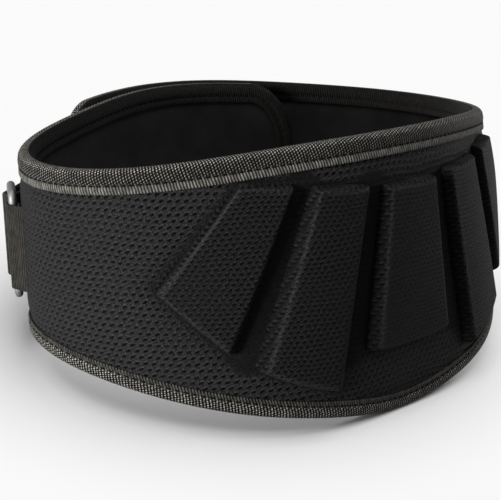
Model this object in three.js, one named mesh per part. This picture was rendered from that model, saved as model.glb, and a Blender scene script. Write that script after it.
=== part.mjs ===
// A padded belt for weight lifting, closed into a loop and standing on its lower edge.
//
// The band is wide over the back, narrow over the hips, and its two rounded ends overlap at the front:
// the left end lies inside and the right end outside. Millimetres, +Z up, the back towards -Y.
//
// Places on the band are given unrolled, as three lengths:
//   along  - run of the band from the middle of the back, positive towards the left side (-X)
//   height - height above the lowest point of the back, before the band leans forward to rest
//   out    - distance out of the band's outer face, negative into its thickness
import * as THREE from 'three';

// The loop.
const HALF_WIDTH = 157.5; // middle of the loop to the outer face at the hip
const BACK_HEIGHT = 155; // height of the band at the middle of the back
const LEFT_PAST_FRONT = 95.1; // run of the left end past the middle of the front, inside
const RIGHT_PAST_FRONT = 88.7; // the same for the right end, outside
const RIM_THICKNESS = 8.9; // outer face to inner face over the edge tape
const OVERLAP_GAP = 4.4; // air between the two ends where they overlap
const MID_HEIGHT = 75; // height at which the loop's plan is taken
const END_CORNER_RUN = 30; // length of a rounded end's corner along the band
const END_CORNER_FALL = 40; // height of the same corner
const SPIRAL_START = 85; // degrees from the back at which the two sides begin to part
const SPIRAL_RUN = 60; // degrees over which they part

// Plan and edges of the band, every 30 degrees round from the back; both sides are alike.
// reach: middle to outer face, as a share of HALF_WIDTH; top, bottom: shares of BACK_HEIGHT;
// lean: outward shift for each unit of height.
const LOOP_ROWS = [
  { turn: 0, reach: 0.619, top: 1.0, bottom: 0.0, lean: -0.05 },
  { turn: 30, reach: 0.6793, top: 0.9895, bottom: 0.0499, lean: -0.0929 },
  { turn: 60, reach: 0.8169, top: 0.9489, bottom: 0.1309, lean: -0.1133 },
  { turn: 90, reach: 0.9997, top: 0.907, bottom: 0.2408, lean: -0.0355 },
  { turn: 120, reach: 0.9526, top: 0.9178, bottom: 0.256, lean: 0.0311 },
  { turn: 150, reach: 0.8114, top: 0.9589, bottom: 0.257, lean: 0.0347 },
  { turn: 180, reach: 0.7956, top: 0.9777, bottom: 0.2704, lean: 0.0268 },
];

// The layers.
const TAPE_WALL = 1; // edge tape
const TAPE_TOP_DEPTH = 12.2; // how far the tape reaches down from the upper edge
const TAPE_LOW_DEPTH = 9.8; // and up from the lower edge
const RIM_ROUND = 3.5; // size of the rounding of a taped rim
const LAYER_GAP = 0.3; // air between layers that lie on each other
const LINING_THICKNESS = 1.2;
const PANEL_SINK = 0.2; // the mesh face lies this far below the tape's face
const LINING_SINK = 0.3; // the same on the inside
const FIELD_EASE = 7; // past the tape, length over which a face comes up from under it

// The back pads.
const FAN_REACH = 147; // middle of the back to the outermost pad corner, along the band
const PAD_RAISE = 5.6; // pad thickness
const PAD_BEVEL = 5; // width of the bevel round a pad's face
const PAD_EDGE = 1.2; // upright edge below the bevel
const PAD_GAP = 0.4; // air under a pad
const PAD_CORNER = 1.6; // how far a pad's corner is rounded in

// Corners of each pad, as [share of FAN_REACH from the middle of the back, share of BACK_HEIGHT].
// The a side is nearer the middle of the back than the b side; sag is how far the lower edge bows down.
const PAD_ROWS = [
  {
    name: 'centre', sag: 3,
    topA: [-0.1354, 0.8271], topB: [0.1354, 0.8271], lowA: [-0.2204, 0.2645], lowB: [0.2204, 0.2645],
  },
  {
    name: 'inner', sag: 1.5,
    topA: [0.1973, 0.8394], topB: [0.432, 0.8548], lowA: [0.3367, 0.146], lowB: [0.6565, 0.2677],
  },
  {
    name: 'outer', sag: 0,
    topA: [0.4946, 0.8645], topB: [0.7014, 0.8781], lowA: [0.7313, 0.3123], lowB: [1, 0.5374],
  },
];

// The closure at the left.
const LOOP_HEIGHT = 62; // steel loop, outside height
const LOOP_WIDTH = 30; // steel loop, outside width
const LOOP_WIRE = 4; // wire diameter
const LOOP_CORNER = 4.5; // bend radius of the wire's middle
const LOOP_BEFORE_END = 84.6; // its back bar, along the left side before the right end
const LOOP_MIDDLE = 88.8; // height of its middle
const LOOP_STAND_OFF = 4.2; // wire's middle above the outer face, at the back bar
const WEB_WIDTH = 48; // width of the tab's webbing and of the strap
const WEB_MIDDLE = 88.6; // height of the middle of both
const TAB_THICKNESS = 1.2;
const TAB_RUN = 14; // sewn end of the tab back from the back bar
const STRAP_THICKNESS = 2.4;
const STRAP_SEWN_RUN = 62; // length of strap that lies sewn on the right end
const STRAP_LAP = 44; // length that is doubled back over the right end
const STRAP_GAP = 0.9; // air under the strap and between its two layers
const WIRE_GAP = 0.3; // air between the wire and what is folded round it

// Fineness.
const MAIN_STEP = 15.2; // spacing of the band's columns
const CORNER_STEPS = 5; // columns in a rounded corner
const FIELD_ROWS = 4; // rows up the mesh face between the tapes
const LINING_ROWS = 3; // the same on the lining
const TURN_STEP = 0.5; // degrees between samples of the loop's plan
const TURN_LIMIT = 262; // degrees to which each side is sampled
const WIRE_SIDES = 8;

const DEGREE = Math.PI / 180;

/** Coefficients of the cosine series that passes through one column of LOOP_ROWS. */
function cosineSeries(column) {
  const last = LOOP_ROWS.length - 1;
  return LOOP_ROWS.map((_, order) => {
    const total = LOOP_ROWS.reduce((sum, row, place) => {
      const weight = place === 0 || place === last ? 0.5 : 1;
      return sum + weight * row[column] * Math.cos((Math.PI * place * order) / last);
    }, 0);
    return ((order === 0 || order === last ? 1 : 2) * total) / last;
  });
}

const SERIES = {
  reach: cosineSeries('reach'),
  top: cosineSeries('top'),
  bottom: cosineSeries('bottom'),
  lean: cosineSeries('lean'),
};

/** Value of a column at a turn given in radians. */
function atTurn(column, turn) {
  return SERIES[column].reduce((sum, share, order) => sum + share * Math.cos(order * turn), 0);
}

/** Slope of a column at a turn given in radians. */
function slopeAtTurn(column, turn) {
  return SERIES[column].reduce((sum, share, order) => sum - order * share * Math.sin(order * turn), 0);
}

/** 0 to 1 with level ends. */
function ease(share) {
  const held = Math.min(1, Math.max(0, share));
  return held * held * (3 - 2 * held);
}

/** How far a side has moved out (right, positive) or in (left, negative) to pass the other one. */
function spiral(turn) {
  const parted = ease((Math.abs(turn) / DEGREE - SPIRAL_START) / SPIRAL_RUN);
  return (-Math.sign(turn) * parted * (RIM_THICKNESS + OVERLAP_GAP)) / 2;
}

/** Plan point and outward normal of the loop at a turn, before the spiral. */
function planAt(turn) {
  const reach = HALF_WIDTH * atTurn('reach', turn);
  const slope = HALF_WIDTH * slopeAtTurn('reach', turn);
  const point = new THREE.Vector2(-reach * Math.sin(turn), -reach * Math.cos(turn));
  const along = new THREE.Vector2(
    -slope * Math.sin(turn) - reach * Math.cos(turn),
    -slope * Math.cos(turn) + reach * Math.sin(turn),
  ).normalize();
  return { point, normal: new THREE.Vector2(-along.y, along.x), along };
}

/** Samples of the turn against the run along the band, with the spiral in them. */
function sampleRuns() {
  const turns = [];
  for (let degrees = -TURN_LIMIT; degrees <= TURN_LIMIT; degrees += TURN_STEP) turns.push(degrees * DEGREE);
  const points = turns.map((turn) => {
    const { point, normal } = planAt(turn);
    return point.addScaledVector(normal, spiral(turn));
  });
  const runs = [0];
  for (let i = 1; i < points.length; i += 1) runs.push(runs[i - 1] + points[i].distanceTo(points[i - 1]));
  const middle = runs[(turns.length - 1) / 2];
  return { turns, runs: runs.map((run) => run - middle) };
}

const RUNS = sampleRuns();

/** Run along the band at a turn in radians. */
function runAt(turn) {
  const spot = (turn / DEGREE + TURN_LIMIT) / TURN_STEP;
  const low = Math.floor(spot);
  return THREE.MathUtils.lerp(RUNS.runs[low], RUNS.runs[low + 1], spot - low);
}

// Middle of the back to the left and to the right rounded end, along the outer face.
const LEFT_LENGTH = runAt(Math.PI) + LEFT_PAST_FRONT;
const RIGHT_LENGTH = RIGHT_PAST_FRONT - runAt(-Math.PI);

/** Turn in radians at a run along the band. */
function turnAt(along) {
  let low = 0;
  let high = RUNS.runs.length - 1;
  while (high - low > 1) {
    const half = (low + high) >> 1;
    if (RUNS.runs[half] > along) high = half;
    else low = half;
  }
  const share = (along - RUNS.runs[low]) / (RUNS.runs[high] - RUNS.runs[low]);
  return THREE.MathUtils.lerp(RUNS.turns[low], RUNS.turns[high], share);
}

/** Point in space of a place on the unrolled band. */
function place(along, height, out) {
  const turn = turnAt(along);
  const { point, normal } = planAt(turn);
  const shift = out + spiral(turn) + atTurn('lean', turn) * (height - MID_HEIGHT);
  return new THREE.Vector3(point.x + normal.x * shift, point.y + normal.y * shift, height);
}

/** Run along the left side, just inside the right end. */
const UNDER_RIGHT_END = runAt(turnAt(-RIGHT_LENGTH) + 2 * Math.PI);
const LOOP_RUN = UNDER_RIGHT_END - LOOP_BEFORE_END;

const topAt = (along) => BACK_HEIGHT * atTurn('top', turnAt(along));
const bottomAt = (along) => BACK_HEIGHT * atTurn('bottom', turnAt(along));

/** One edge of the unrolled band from the right end to the left one; side +1 is the upper edge. */
function edgePath(side) {
  const edge = side > 0 ? topAt : bottomAt;
  const corner = (length, sign) => Array.from({ length: CORNER_STEPS }, (_, i) => {
    const angle = (90 * DEGREE * (i + 1)) / CORNER_STEPS;
    const along = sign * (length - END_CORNER_RUN * (1 - Math.sin(angle)));
    return new THREE.Vector2(along, edge(along) - side * END_CORNER_FALL * (1 - Math.cos(angle)));
  });
  const from = END_CORNER_RUN - RIGHT_LENGTH;
  const to = LEFT_LENGTH - END_CORNER_RUN;
  const count = Math.round((to - from) / MAIN_STEP);
  const straight = Array.from({ length: count + 1 }, (_, i) => {
    const along = THREE.MathUtils.lerp(from, to, i / count);
    return new THREE.Vector2(along, edge(along));
  });
  return [...corner(RIGHT_LENGTH, -1).reverse(), ...straight, ...corner(LEFT_LENGTH, 1)];
}

/** Unit vector from each point of an edge path into the band, square to the edge. */
function inwardOf(path, side) {
  return path.map((point, i) => {
    if (i === 0) return new THREE.Vector2(1, 0);
    if (i === path.length - 1) return new THREE.Vector2(-1, 0);
    const run = path[i + 1].clone().sub(path[i - 1]).normalize();
    return new THREE.Vector2(run.y, -run.x).multiplyScalar(side);
  });
}

const TOP_PATH = edgePath(1);
const BOTTOM_PATH = edgePath(-1);
const TOP_INWARD = inwardOf(TOP_PATH, 1);
const BOTTOM_INWARD = inwardOf(BOTTOM_PATH, -1);

/** How far in from an edge a row of a section table lies: measured from the edge or from the tape's lip. */
function insetOf(row, side) {
  const lip = side > 0 ? TAPE_TOP_DEPTH : TAPE_LOW_DEPTH;
  return 'fromLip' in row ? lip + row.fromLip : row.fromEdge;
}

/** Unrolled place of a section row at a column of the band. */
function unrolledAt(column, side, row) {
  const path = side > 0 ? TOP_PATH : BOTTOM_PATH;
  const inward = side > 0 ? TOP_INWARD : BOTTOM_INWARD;
  return path[column].clone().addScaledVector(inward[column], insetOf(row, side));
}

/** Point in space of a section row at a column of the band. */
function sectionPoint(column, side, row) {
  const point = unrolledAt(column, side, row);
  return place(point.x, point.y, row.out);
}

/** Closed mesh through rings of equal length, capped by fans or, if looped, joined end to end. */
function loft(rings, looped = false) {
  const size = rings[0].length;
  const points = rings.flat();
  const faces = [];
  const spans = looped ? rings.length : rings.length - 1;
  for (let i = 0; i < spans; i += 1) {
    const near = i * size;
    const far = ((i + 1) % rings.length) * size;
    for (let j = 0; j < size; j += 1) {
      const next = (j + 1) % size;
      faces.push(near + j, far + j, far + next, near + j, far + next, near + next);
    }
  }
  if (!looped) {
    const first = points.length;
    const lastRing = (rings.length - 1) * size;
    points.push(centreOf(rings[0]), centreOf(rings[rings.length - 1]));
    for (let j = 0; j < size; j += 1) {
      const next = (j + 1) % size;
      faces.push(first, j, next, first + 1, lastRing + next, lastRing + j);
    }
  }
  return solidOf(points, faces);
}

/** Middle of a ring of points. */
function centreOf(ring) {
  return ring.reduce((sum, point) => sum.add(point), new THREE.Vector3()).divideScalar(ring.length);
}

/** Geometry from points and faces, turned so that its faces look outward. */
function solidOf(points, faces) {
  let volume = 0;
  for (let i = 0; i < faces.length; i += 3) {
    const [a, b, c] = [points[faces[i]], points[faces[i + 1]], points[faces[i + 2]]];
    volume += a.dot(new THREE.Vector3().crossVectors(b, c));
  }
  const turned = volume < 0 ? faces.toReversed() : faces;
  const geometry = new THREE.BufferGeometry();
  const numbers = points.flatMap((point) => point.toArray());
  geometry.setAttribute('position', new THREE.Float32BufferAttribute(numbers, 3));
  geometry.setIndex(turned);
  geometry.computeVertexNormals();
  return geometry;
}

// Depths of the layers, measured out of the band's outer face.
const TAPE_INSIDE = -TAPE_WALL - LAYER_GAP; // outermost face of what lies in the tape
const LINING_INNER = -RIM_THICKNESS + TAPE_WALL + LAYER_GAP; // lining's inner face within the tape
const LINING_OUTER = LINING_INNER + LINING_THICKNESS;
const PANEL_INNER = LINING_OUTER + LAYER_GAP;
const BODY_EDGE = TAPE_WALL + LAYER_GAP; // edge of the body, in from the tape's crown

// Half sections at an edge, from the face that is seen round to the hidden one.
const PANEL_EDGE = [
  { fromLip: FIELD_EASE, out: -PANEL_SINK },
  { fromLip: LAYER_GAP, out: TAPE_INSIDE },
  { fromEdge: BODY_EDGE + 3, out: TAPE_INSIDE },
  { fromEdge: BODY_EDGE + 0.4, out: TAPE_INSIDE - 2.6 },
  { fromEdge: BODY_EDGE + 0.4, out: PANEL_INNER + 0.8 },
  { fromEdge: BODY_EDGE + 1.4, out: PANEL_INNER },
];
const LINING_EDGE = [
  { fromLip: FIELD_EASE, out: -RIM_THICKNESS + LINING_SINK },
  { fromLip: LAYER_GAP, out: LINING_INNER },
  { fromEdge: BODY_EDGE + 3, out: LINING_INNER },
  { fromEdge: BODY_EDGE + 1.7, out: LINING_OUTER },
];

// The tape's whole section: round the outside of the rim from lip to lip, then back inside.
const TAPE_SECTION = [
  { fromLip: 0, out: 0 },
  { fromEdge: RIM_ROUND, out: 0 },
  { fromEdge: RIM_ROUND * 0.3, out: -RIM_ROUND * 0.3 },
  { fromEdge: 0, out: -RIM_ROUND },
  { fromEdge: 0, out: -RIM_THICKNESS + RIM_ROUND },
  { fromEdge: RIM_ROUND * 0.3, out: -RIM_THICKNESS + RIM_ROUND * 0.3 },
  { fromEdge: RIM_ROUND, out: -RIM_THICKNESS },
  { fromLip: 0, out: -RIM_THICKNESS },
  { fromLip: 0, out: -RIM_THICKNESS + TAPE_WALL },
  { fromEdge: RIM_ROUND + 0.4, out: -RIM_THICKNESS + TAPE_WALL },
  { fromEdge: TAPE_WALL, out: -RIM_THICKNESS + RIM_ROUND + 0.3 },
  { fromEdge: TAPE_WALL, out: -RIM_ROUND - 0.3 },
  { fromEdge: RIM_ROUND + 0.4, out: -TAPE_WALL },
  { fromLip: 0, out: -TAPE_WALL },
];

/**
 * A layer of the band: the same half section at both edges, joined across the band at each column.
 * The face that the half section starts on is shared out in rows up the band.
 */
function bandLayer(halfSection, rows) {
  const first = halfSection[0];
  const rings = TOP_PATH.map((_, column) => {
    const upper = unrolledAt(column, 1, first);
    const lower = unrolledAt(column, -1, first);
    const field = Array.from({ length: rows - 1 }, (_row, i) => lower.clone().lerp(upper, (i + 1) / rows));
    return [
      ...halfSection.map((row) => sectionPoint(column, 1, row)),
      ...halfSection.toReversed().map((row) => sectionPoint(column, -1, row)),
      ...field.map((point) => place(point.x, point.y, first.out)),
    ];
  });
  return loft(rings);
}

/** The tape over the whole edge: along the top, down the left end, back below, up the right end. */
function edgeTape() {
  const columns = TOP_PATH.map((_, column) => column);
  const stations = [
    ...columns.map((column) => [column, 1]),
    ...columns.toReversed().map((column) => [column, -1]),
  ];
  const rings = stations.map(([column, side]) => (
    TAPE_SECTION.map((row) => sectionPoint(column, side, row))
  ));
  return loft(rings, true);
}

/** Positions across a span that keep the bevel's lines at both ends and share out the rest. */
function bevelLines(span, inner) {
  const lines = [0, PAD_BEVEL * 0.45, PAD_BEVEL];
  const free = span - 2 * PAD_BEVEL;
  for (let i = 1; i < inner; i += 1) lines.push(PAD_BEVEL + (free * i) / inner);
  return [...lines, span - PAD_BEVEL, span - PAD_BEVEL * 0.45, span].map((line) => line / span);
}

/** Height of a pad's face at a distance from its edge. */
function padProfile(distance) {
  if (distance <= PAD_BEVEL * 0.45) {
    return THREE.MathUtils.lerp(PAD_EDGE, PAD_RAISE * 0.72, distance / (PAD_BEVEL * 0.45));
  }
  const share = (distance - PAD_BEVEL * 0.45) / (PAD_BEVEL * 0.55);
  return THREE.MathUtils.lerp(PAD_RAISE * 0.72, PAD_RAISE, Math.min(1, share));
}

/** One back pad: a bevelled four-sided slab that follows the band's face. */
function padSolid(row, mirror) {
  const corner = ([run, height]) => new THREE.Vector2(run * FAN_REACH * mirror, height * BACK_HEIGHT);
  const [topA, topB, lowA, lowB] = [row.topA, row.topB, row.lowA, row.lowB].map(corner);
  const tall = topA.distanceTo(lowA);
  const wide = (topA.distanceTo(topB) + lowA.distanceTo(lowB)) / 2;
  const across = bevelLines(wide, 3);
  const down = bevelLines(tall, 5);
  const face = [];
  const foot = [];
  down.forEach((v) => {
    const left = topA.clone().lerp(lowA, v);
    const right = topB.clone().lerp(lowB, v);
    across.forEach((u) => {
      const spot = left.clone().lerp(right, u);
      spot.y -= row.sag * 4 * u * (1 - u) * v;
      const fromSide = Math.min(u, 1 - u) * wide;
      const fromEnd = Math.min(v, 1 - v) * tall;
      const cornerShare = fromSide === 0 && fromEnd === 0 ? PAD_CORNER : 0;
      const middle = left.clone().lerp(right, 0.5);
      spot.x += Math.sign(middle.x - spot.x) * cornerShare;
      spot.y += (v < 0.5 ? -1 : 1) * cornerShare;
      const base = -PANEL_SINK + PAD_GAP;
      face.push(place(spot.x, spot.y, base + padProfile(Math.min(fromSide, fromEnd))));
      foot.push(place(spot.x, spot.y, base));
    });
  });
  return slabBetween(face, foot, across.length);
}

/** Closed mesh between two grids of points with the same layout. */
function slabBetween(face, foot, columns) {
  const rows = face.length / columns;
  const below = face.length;
  const faces = [];
  for (let r = 0; r < rows - 1; r += 1) {
    for (let c = 0; c < columns - 1; c += 1) {
      const a = r * columns + c;
      const [b, d, e] = [a + 1, a + columns, a + columns + 1];
      faces.push(a, b, e, a, e, d);
      faces.push(below + a, below + e, below + b, below + a, below + d, below + e);
    }
  }
  const rim = [];
  for (let c = 0; c < columns - 1; c += 1) rim.push(c);
  for (let r = 0; r < rows - 1; r += 1) rim.push(r * columns + columns - 1);
  for (let c = columns - 1; c > 0; c -= 1) rim.push((rows - 1) * columns + c);
  for (let r = rows - 1; r > 0; r -= 1) rim.push(r * columns);
  rim.forEach((a, i) => {
    const b = rim[(i + 1) % rim.length];
    faces.push(a, below + b, b, a, below + a, below + b);
  });
  return solidOf([...face, ...foot], faces);
}

/** Axes of the steel loop: forward along the band, up with the band's lean, out of it. */
function loopFrame() {
  const turn = turnAt(LOOP_RUN);
  const { normal, along } = planAt(turn);
  const lean = atTurn('lean', turn);
  const forward = new THREE.Vector3(along.x, along.y, 0);
  const up = new THREE.Vector3(normal.x * lean, normal.y * lean, 1).normalize();
  const out = new THREE.Vector3().crossVectors(forward, up).normalize();
  if (out.x * normal.x + out.y * normal.y < 0) out.negate();
  return { origin: place(LOOP_RUN, LOOP_MIDDLE, LOOP_STAND_OFF), forward, up, out };
}

const LOOP = loopFrame();
const BAR_SPACING = LOOP_WIDTH - LOOP_WIRE;
const FRONT_BAR = LOOP.origin.clone().addScaledVector(LOOP.forward, BAR_SPACING);

/** The steel loop: a round wire bent into a rectangle with rounded corners. */
function steelLoop() {
  const tall = LOOP_HEIGHT - LOOP_WIRE;
  const corners = [
    { forward: BAR_SPACING - LOOP_CORNER, up: tall / 2 - LOOP_CORNER, from: 0 },
    { forward: LOOP_CORNER, up: tall / 2 - LOOP_CORNER, from: 90 },
    { forward: LOOP_CORNER, up: -tall / 2 + LOOP_CORNER, from: 180 },
    { forward: BAR_SPACING - LOOP_CORNER, up: -tall / 2 + LOOP_CORNER, from: 270 },
  ];
  const rings = corners.flatMap((corner) => [0, 30, 60, 90].map((step) => {
    const angle = (corner.from + step) * DEGREE;
    const aside = LOOP.forward.clone()
      .multiplyScalar(Math.cos(angle))
      .addScaledVector(LOOP.up, Math.sin(angle));
    const middle = LOOP.origin.clone()
      .addScaledVector(LOOP.forward, corner.forward)
      .addScaledVector(LOOP.up, corner.up)
      .addScaledVector(aside, LOOP_CORNER);
    return Array.from({ length: WIRE_SIDES }, (_, side) => {
      const round = ((side + 0.5) * 2 * Math.PI) / WIRE_SIDES;
      return middle.clone()
        .addScaledVector(aside, (LOOP_WIRE / 2) * Math.cos(round))
        .addScaledVector(LOOP.out, (LOOP_WIRE / 2) * Math.sin(round));
    });
  }));
  return loft(rings, true);
}

/** Flat coordinates of a point in space: forward and out from the back bar of the steel loop. */
function inLoopPlan(point) {
  const offset = point.clone().sub(LOOP.origin);
  offset.addScaledVector(LOOP.up, -offset.z / LOOP.up.z);
  return new THREE.Vector2(offset.dot(LOOP.forward), offset.dot(LOOP.out));
}

/** A band of webbing standing upright: a path in the loop's plan, given its thickness. */
function uprightBand(path, thickness) {
  const rise = (WEB_MIDDLE - LOOP_MIDDLE) / LOOP.up.z;
  const rings = path.map((point, i) => {
    const before = path[Math.max(0, i - 1)];
    const after = path[Math.min(path.length - 1, i + 1)];
    const run = after.clone().sub(before).normalize();
    const bend = i > 0 && i < path.length - 1 ? point.clone().sub(before).angle() - run.angle() : 0;
    const aside = new THREE.Vector2(-run.y, run.x).multiplyScalar(thickness / 2 / Math.cos(bend));
    return [[1, -1], [1, 1], [-1, 1], [-1, -1]].map(([face, end]) => LOOP.origin.clone()
      .addScaledVector(LOOP.forward, point.x + aside.x * face)
      .addScaledVector(LOOP.out, point.y + aside.y * face)
      .addScaledVector(LOOP.up, rise + (end * WEB_WIDTH) / 2));
  });
  return loft(rings);
}

/** Points of a half turn round a bar in the loop's plan; start and sweep in degrees. */
function roundBar(centre, radius, start, sweep, steps) {
  return Array.from({ length: steps + 1 }, (_, i) => {
    const angle = (start + (sweep * i) / steps) * DEGREE;
    return new THREE.Vector2(centre.x + radius * Math.cos(angle), centre.y + radius * Math.sin(angle));
  });
}

/** Places in the steel loop's plan along one side of the band, at the height of the webbing. */
function alongBand(runs, out) {
  return runs.map((run) => inLoopPlan(place(run, WEB_MIDDLE, out)));
}

/** The webbing tab: out along the band's face, round the back bar of the steel loop and back again. */
function webbingTab() {
  const radius = LOOP_WIRE / 2 + WIRE_GAP + TAB_THICKNESS / 2;
  const first = TAB_THICKNESS / 2 + STRAP_GAP - PANEL_SINK;
  const second = first + TAB_THICKNESS + LAYER_GAP;
  const sewn = LOOP_RUN - TAB_RUN;
  const fold = roundBar(new THREE.Vector2(0, 0), radius, -95, 215, 9);
  return uprightBand([
    ...alongBand([sewn, sewn + TAB_RUN / 2], first),
    ...fold,
    ...alongBand([sewn + TAB_RUN / 2, sewn], second),
  ], TAB_THICKNESS);
}

/** The strap: off the right end, in under the front bar, round it and doubled back over itself. */
function closureStrap() {
  const radius = LOOP_WIRE / 2 + WIRE_GAP + STRAP_THICKNESS / 2;
  const first = STRAP_THICKNESS / 2 + STRAP_GAP;
  const second = first + STRAP_THICKNESS + STRAP_GAP;
  const spread = (length) => Array.from({ length: 6 }, (_, i) => 1 - RIGHT_LENGTH + (length * i) / 5);
  const under = alongBand(spread(STRAP_SEWN_RUN).reverse(), first);
  const over = alongBand(spread(STRAP_LAP), second);
  const bar = inLoopPlan(FRONT_BAR);
  const away = under[under.length - 1].clone().sub(bar).angle() / DEGREE;
  const fold = roundBar(bar, radius, away - 90, -180, 8);
  return uprightBand([...under, ...fold, ...over], STRAP_THICKNESS);
}

const mesh = new THREE.MeshStandardMaterial({ color: 0x1d1e21, roughness: 0.85 });
const foamMesh = new THREE.MeshStandardMaterial({ color: 0x232427, roughness: 0.82 });
const lining = new THREE.MeshStandardMaterial({ color: 0x121213, roughness: 0.95 });
const tape = new THREE.MeshStandardMaterial({ color: 0x3a3835, roughness: 0.8 });
const webbing = new THREE.MeshStandardMaterial({ color: 0x2c2a28, roughness: 0.85 });
const steel = new THREE.MeshStandardMaterial({ color: 0x9a9b9d, roughness: 0.35, metalness: 0.9 });

function named(name, geometry, material) {
  const piece = new THREE.Mesh(geometry, material);
  piece.name = name;
  return piece;
}

const belt = new THREE.Group();
belt.name = 'belt';
belt.add(
  named('outer_panel', bandLayer(PANEL_EDGE, FIELD_ROWS), mesh),
  named('inner_lining', bandLayer(LINING_EDGE, LINING_ROWS), lining),
  named('edge_binding', edgeTape(), tape),
);
belt.add(named('pad_centre', padSolid(PAD_ROWS[0], 1), foamMesh));
PAD_ROWS.slice(1).forEach((row) => {
  belt.add(named(`pad_left_${row.name}`, padSolid(row, 1), foamMesh));
  belt.add(named(`pad_right_${row.name}`, padSolid(row, -1), foamMesh));
});
belt.add(
  named('buckle_loop', steelLoop(), steel),
  named('loop_tab', webbingTab(), webbing),
  named('closure_strap', closureStrap(), webbing),
);

/** Lowest point of the tape on one side of the loop's middle after leaning forward by an angle. */
function lowestAfter(tilt, side) {
  const points = belt.getObjectByName('edge_binding').geometry.attributes.position;
  let lowest = Infinity;
  for (let i = 0; i < points.count; i += 1) {
    if (points.getY(i) * side > 0) {
      lowest = Math.min(lowest, points.getZ(i) * Math.cos(tilt) - points.getY(i) * Math.sin(tilt));
    }
  }
  return lowest;
}

/** Angle at which the back and the front of the lower edge both touch the floor. */
function restingTilt() {
  let low = 0;
  let high = 20 * DEGREE;
  for (let i = 0; i < 50; i += 1) {
    const half = (low + high) / 2;
    if (lowestAfter(half, 1) > lowestAfter(half, -1)) low = half;
    else high = half;
  }
  return (low + high) / 2;
}

belt.rotation.x = -restingTilt();
belt.updateMatrixWorld(true);
const bounds = new THREE.Box3().setFromObject(belt, true);
const group = new THREE.Group();
group.name = 'lifting_belt';
belt.position.set(
  -(bounds.min.x + bounds.max.x) / 2,
  -(bounds.min.y + bounds.max.y) / 2,
  -bounds.min.z,
);
group.add(belt);

export default group;
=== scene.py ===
"""Looks of a padded weightlifting belt that stands closed in a loop on a pale floor.

Places on the band are given unrolled, in millimetres: `along` is the run from the middle of
the back, positive towards the left side, `height` is the height above the lowest point of the
back before the band leans forward to rest, and `out` is the distance out of the outer face.
Meshes are in metres.
"""

import logging
import math
from abc import ABC, abstractmethod
from dataclasses import dataclass, field
from enum import Enum

import bpy
import numpy as np
from mathutils import Matrix, Vector


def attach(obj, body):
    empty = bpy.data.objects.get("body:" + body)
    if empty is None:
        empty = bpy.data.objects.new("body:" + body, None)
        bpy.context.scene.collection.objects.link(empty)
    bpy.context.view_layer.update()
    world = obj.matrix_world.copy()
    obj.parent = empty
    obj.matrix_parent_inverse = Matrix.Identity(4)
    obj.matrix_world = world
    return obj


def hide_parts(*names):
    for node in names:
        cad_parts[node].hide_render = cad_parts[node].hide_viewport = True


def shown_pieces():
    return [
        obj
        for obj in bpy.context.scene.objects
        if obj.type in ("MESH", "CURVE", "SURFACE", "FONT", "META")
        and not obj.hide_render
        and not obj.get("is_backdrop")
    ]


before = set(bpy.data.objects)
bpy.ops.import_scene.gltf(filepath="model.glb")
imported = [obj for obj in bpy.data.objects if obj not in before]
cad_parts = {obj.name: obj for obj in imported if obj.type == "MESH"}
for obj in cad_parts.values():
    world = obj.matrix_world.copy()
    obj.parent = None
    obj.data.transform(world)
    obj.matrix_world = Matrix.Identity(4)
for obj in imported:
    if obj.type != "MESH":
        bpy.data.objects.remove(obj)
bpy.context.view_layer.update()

LOG = logging.getLogger("belt")
MM = 0.001
BODY = "root"


class Edge(Enum):
    """Which edge of the band a row follows."""

    TOP = 1
    LOW = -1


class Side(Enum):
    """Which side of the back a pad lies on."""

    LEFT = 1
    RIGHT = -1


class Hold(Enum):
    """How a sheet of cloth is held."""

    STRETCHED = "stretched"
    FOLDED = "folded"


def ease(share: np.ndarray) -> np.ndarray:
    """Rises from 0 to 1 with level ends: x times x times (3 minus 2x).

    Args:
        share: Position between the start, 0, and the end, 1; held to that range.

    Returns:
        The eased share.
    """
    held = np.clip(share, 0.0, 1.0)
    return held * held * (3 - 2 * held)


def run_lengths(points: np.ndarray) -> np.ndarray:
    """Cumulative length along a polyline.

    Args:
        points: Points as (count, dimensions).

    Returns:
        Length from the first point to each one.
    """
    steps = np.linalg.norm(np.diff(points, axis=0), axis=1)
    return np.concatenate([[0.0], np.cumsum(steps)])


def resampled(points: np.ndarray, step: float) -> np.ndarray:
    """The same polyline with evenly spaced points.

    Args:
        points: Points as (count, dimensions).
        step: Wanted spacing.

    Returns:
        Evenly spaced points from the first to the last one.
    """
    lengths = run_lengths(points)
    count = max(2, int(round(lengths[-1] / step)) + 1)
    wanted = np.linspace(0.0, lengths[-1], count)
    return np.stack([np.interp(wanted, lengths, column) for column in points.T], axis=1)


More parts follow.
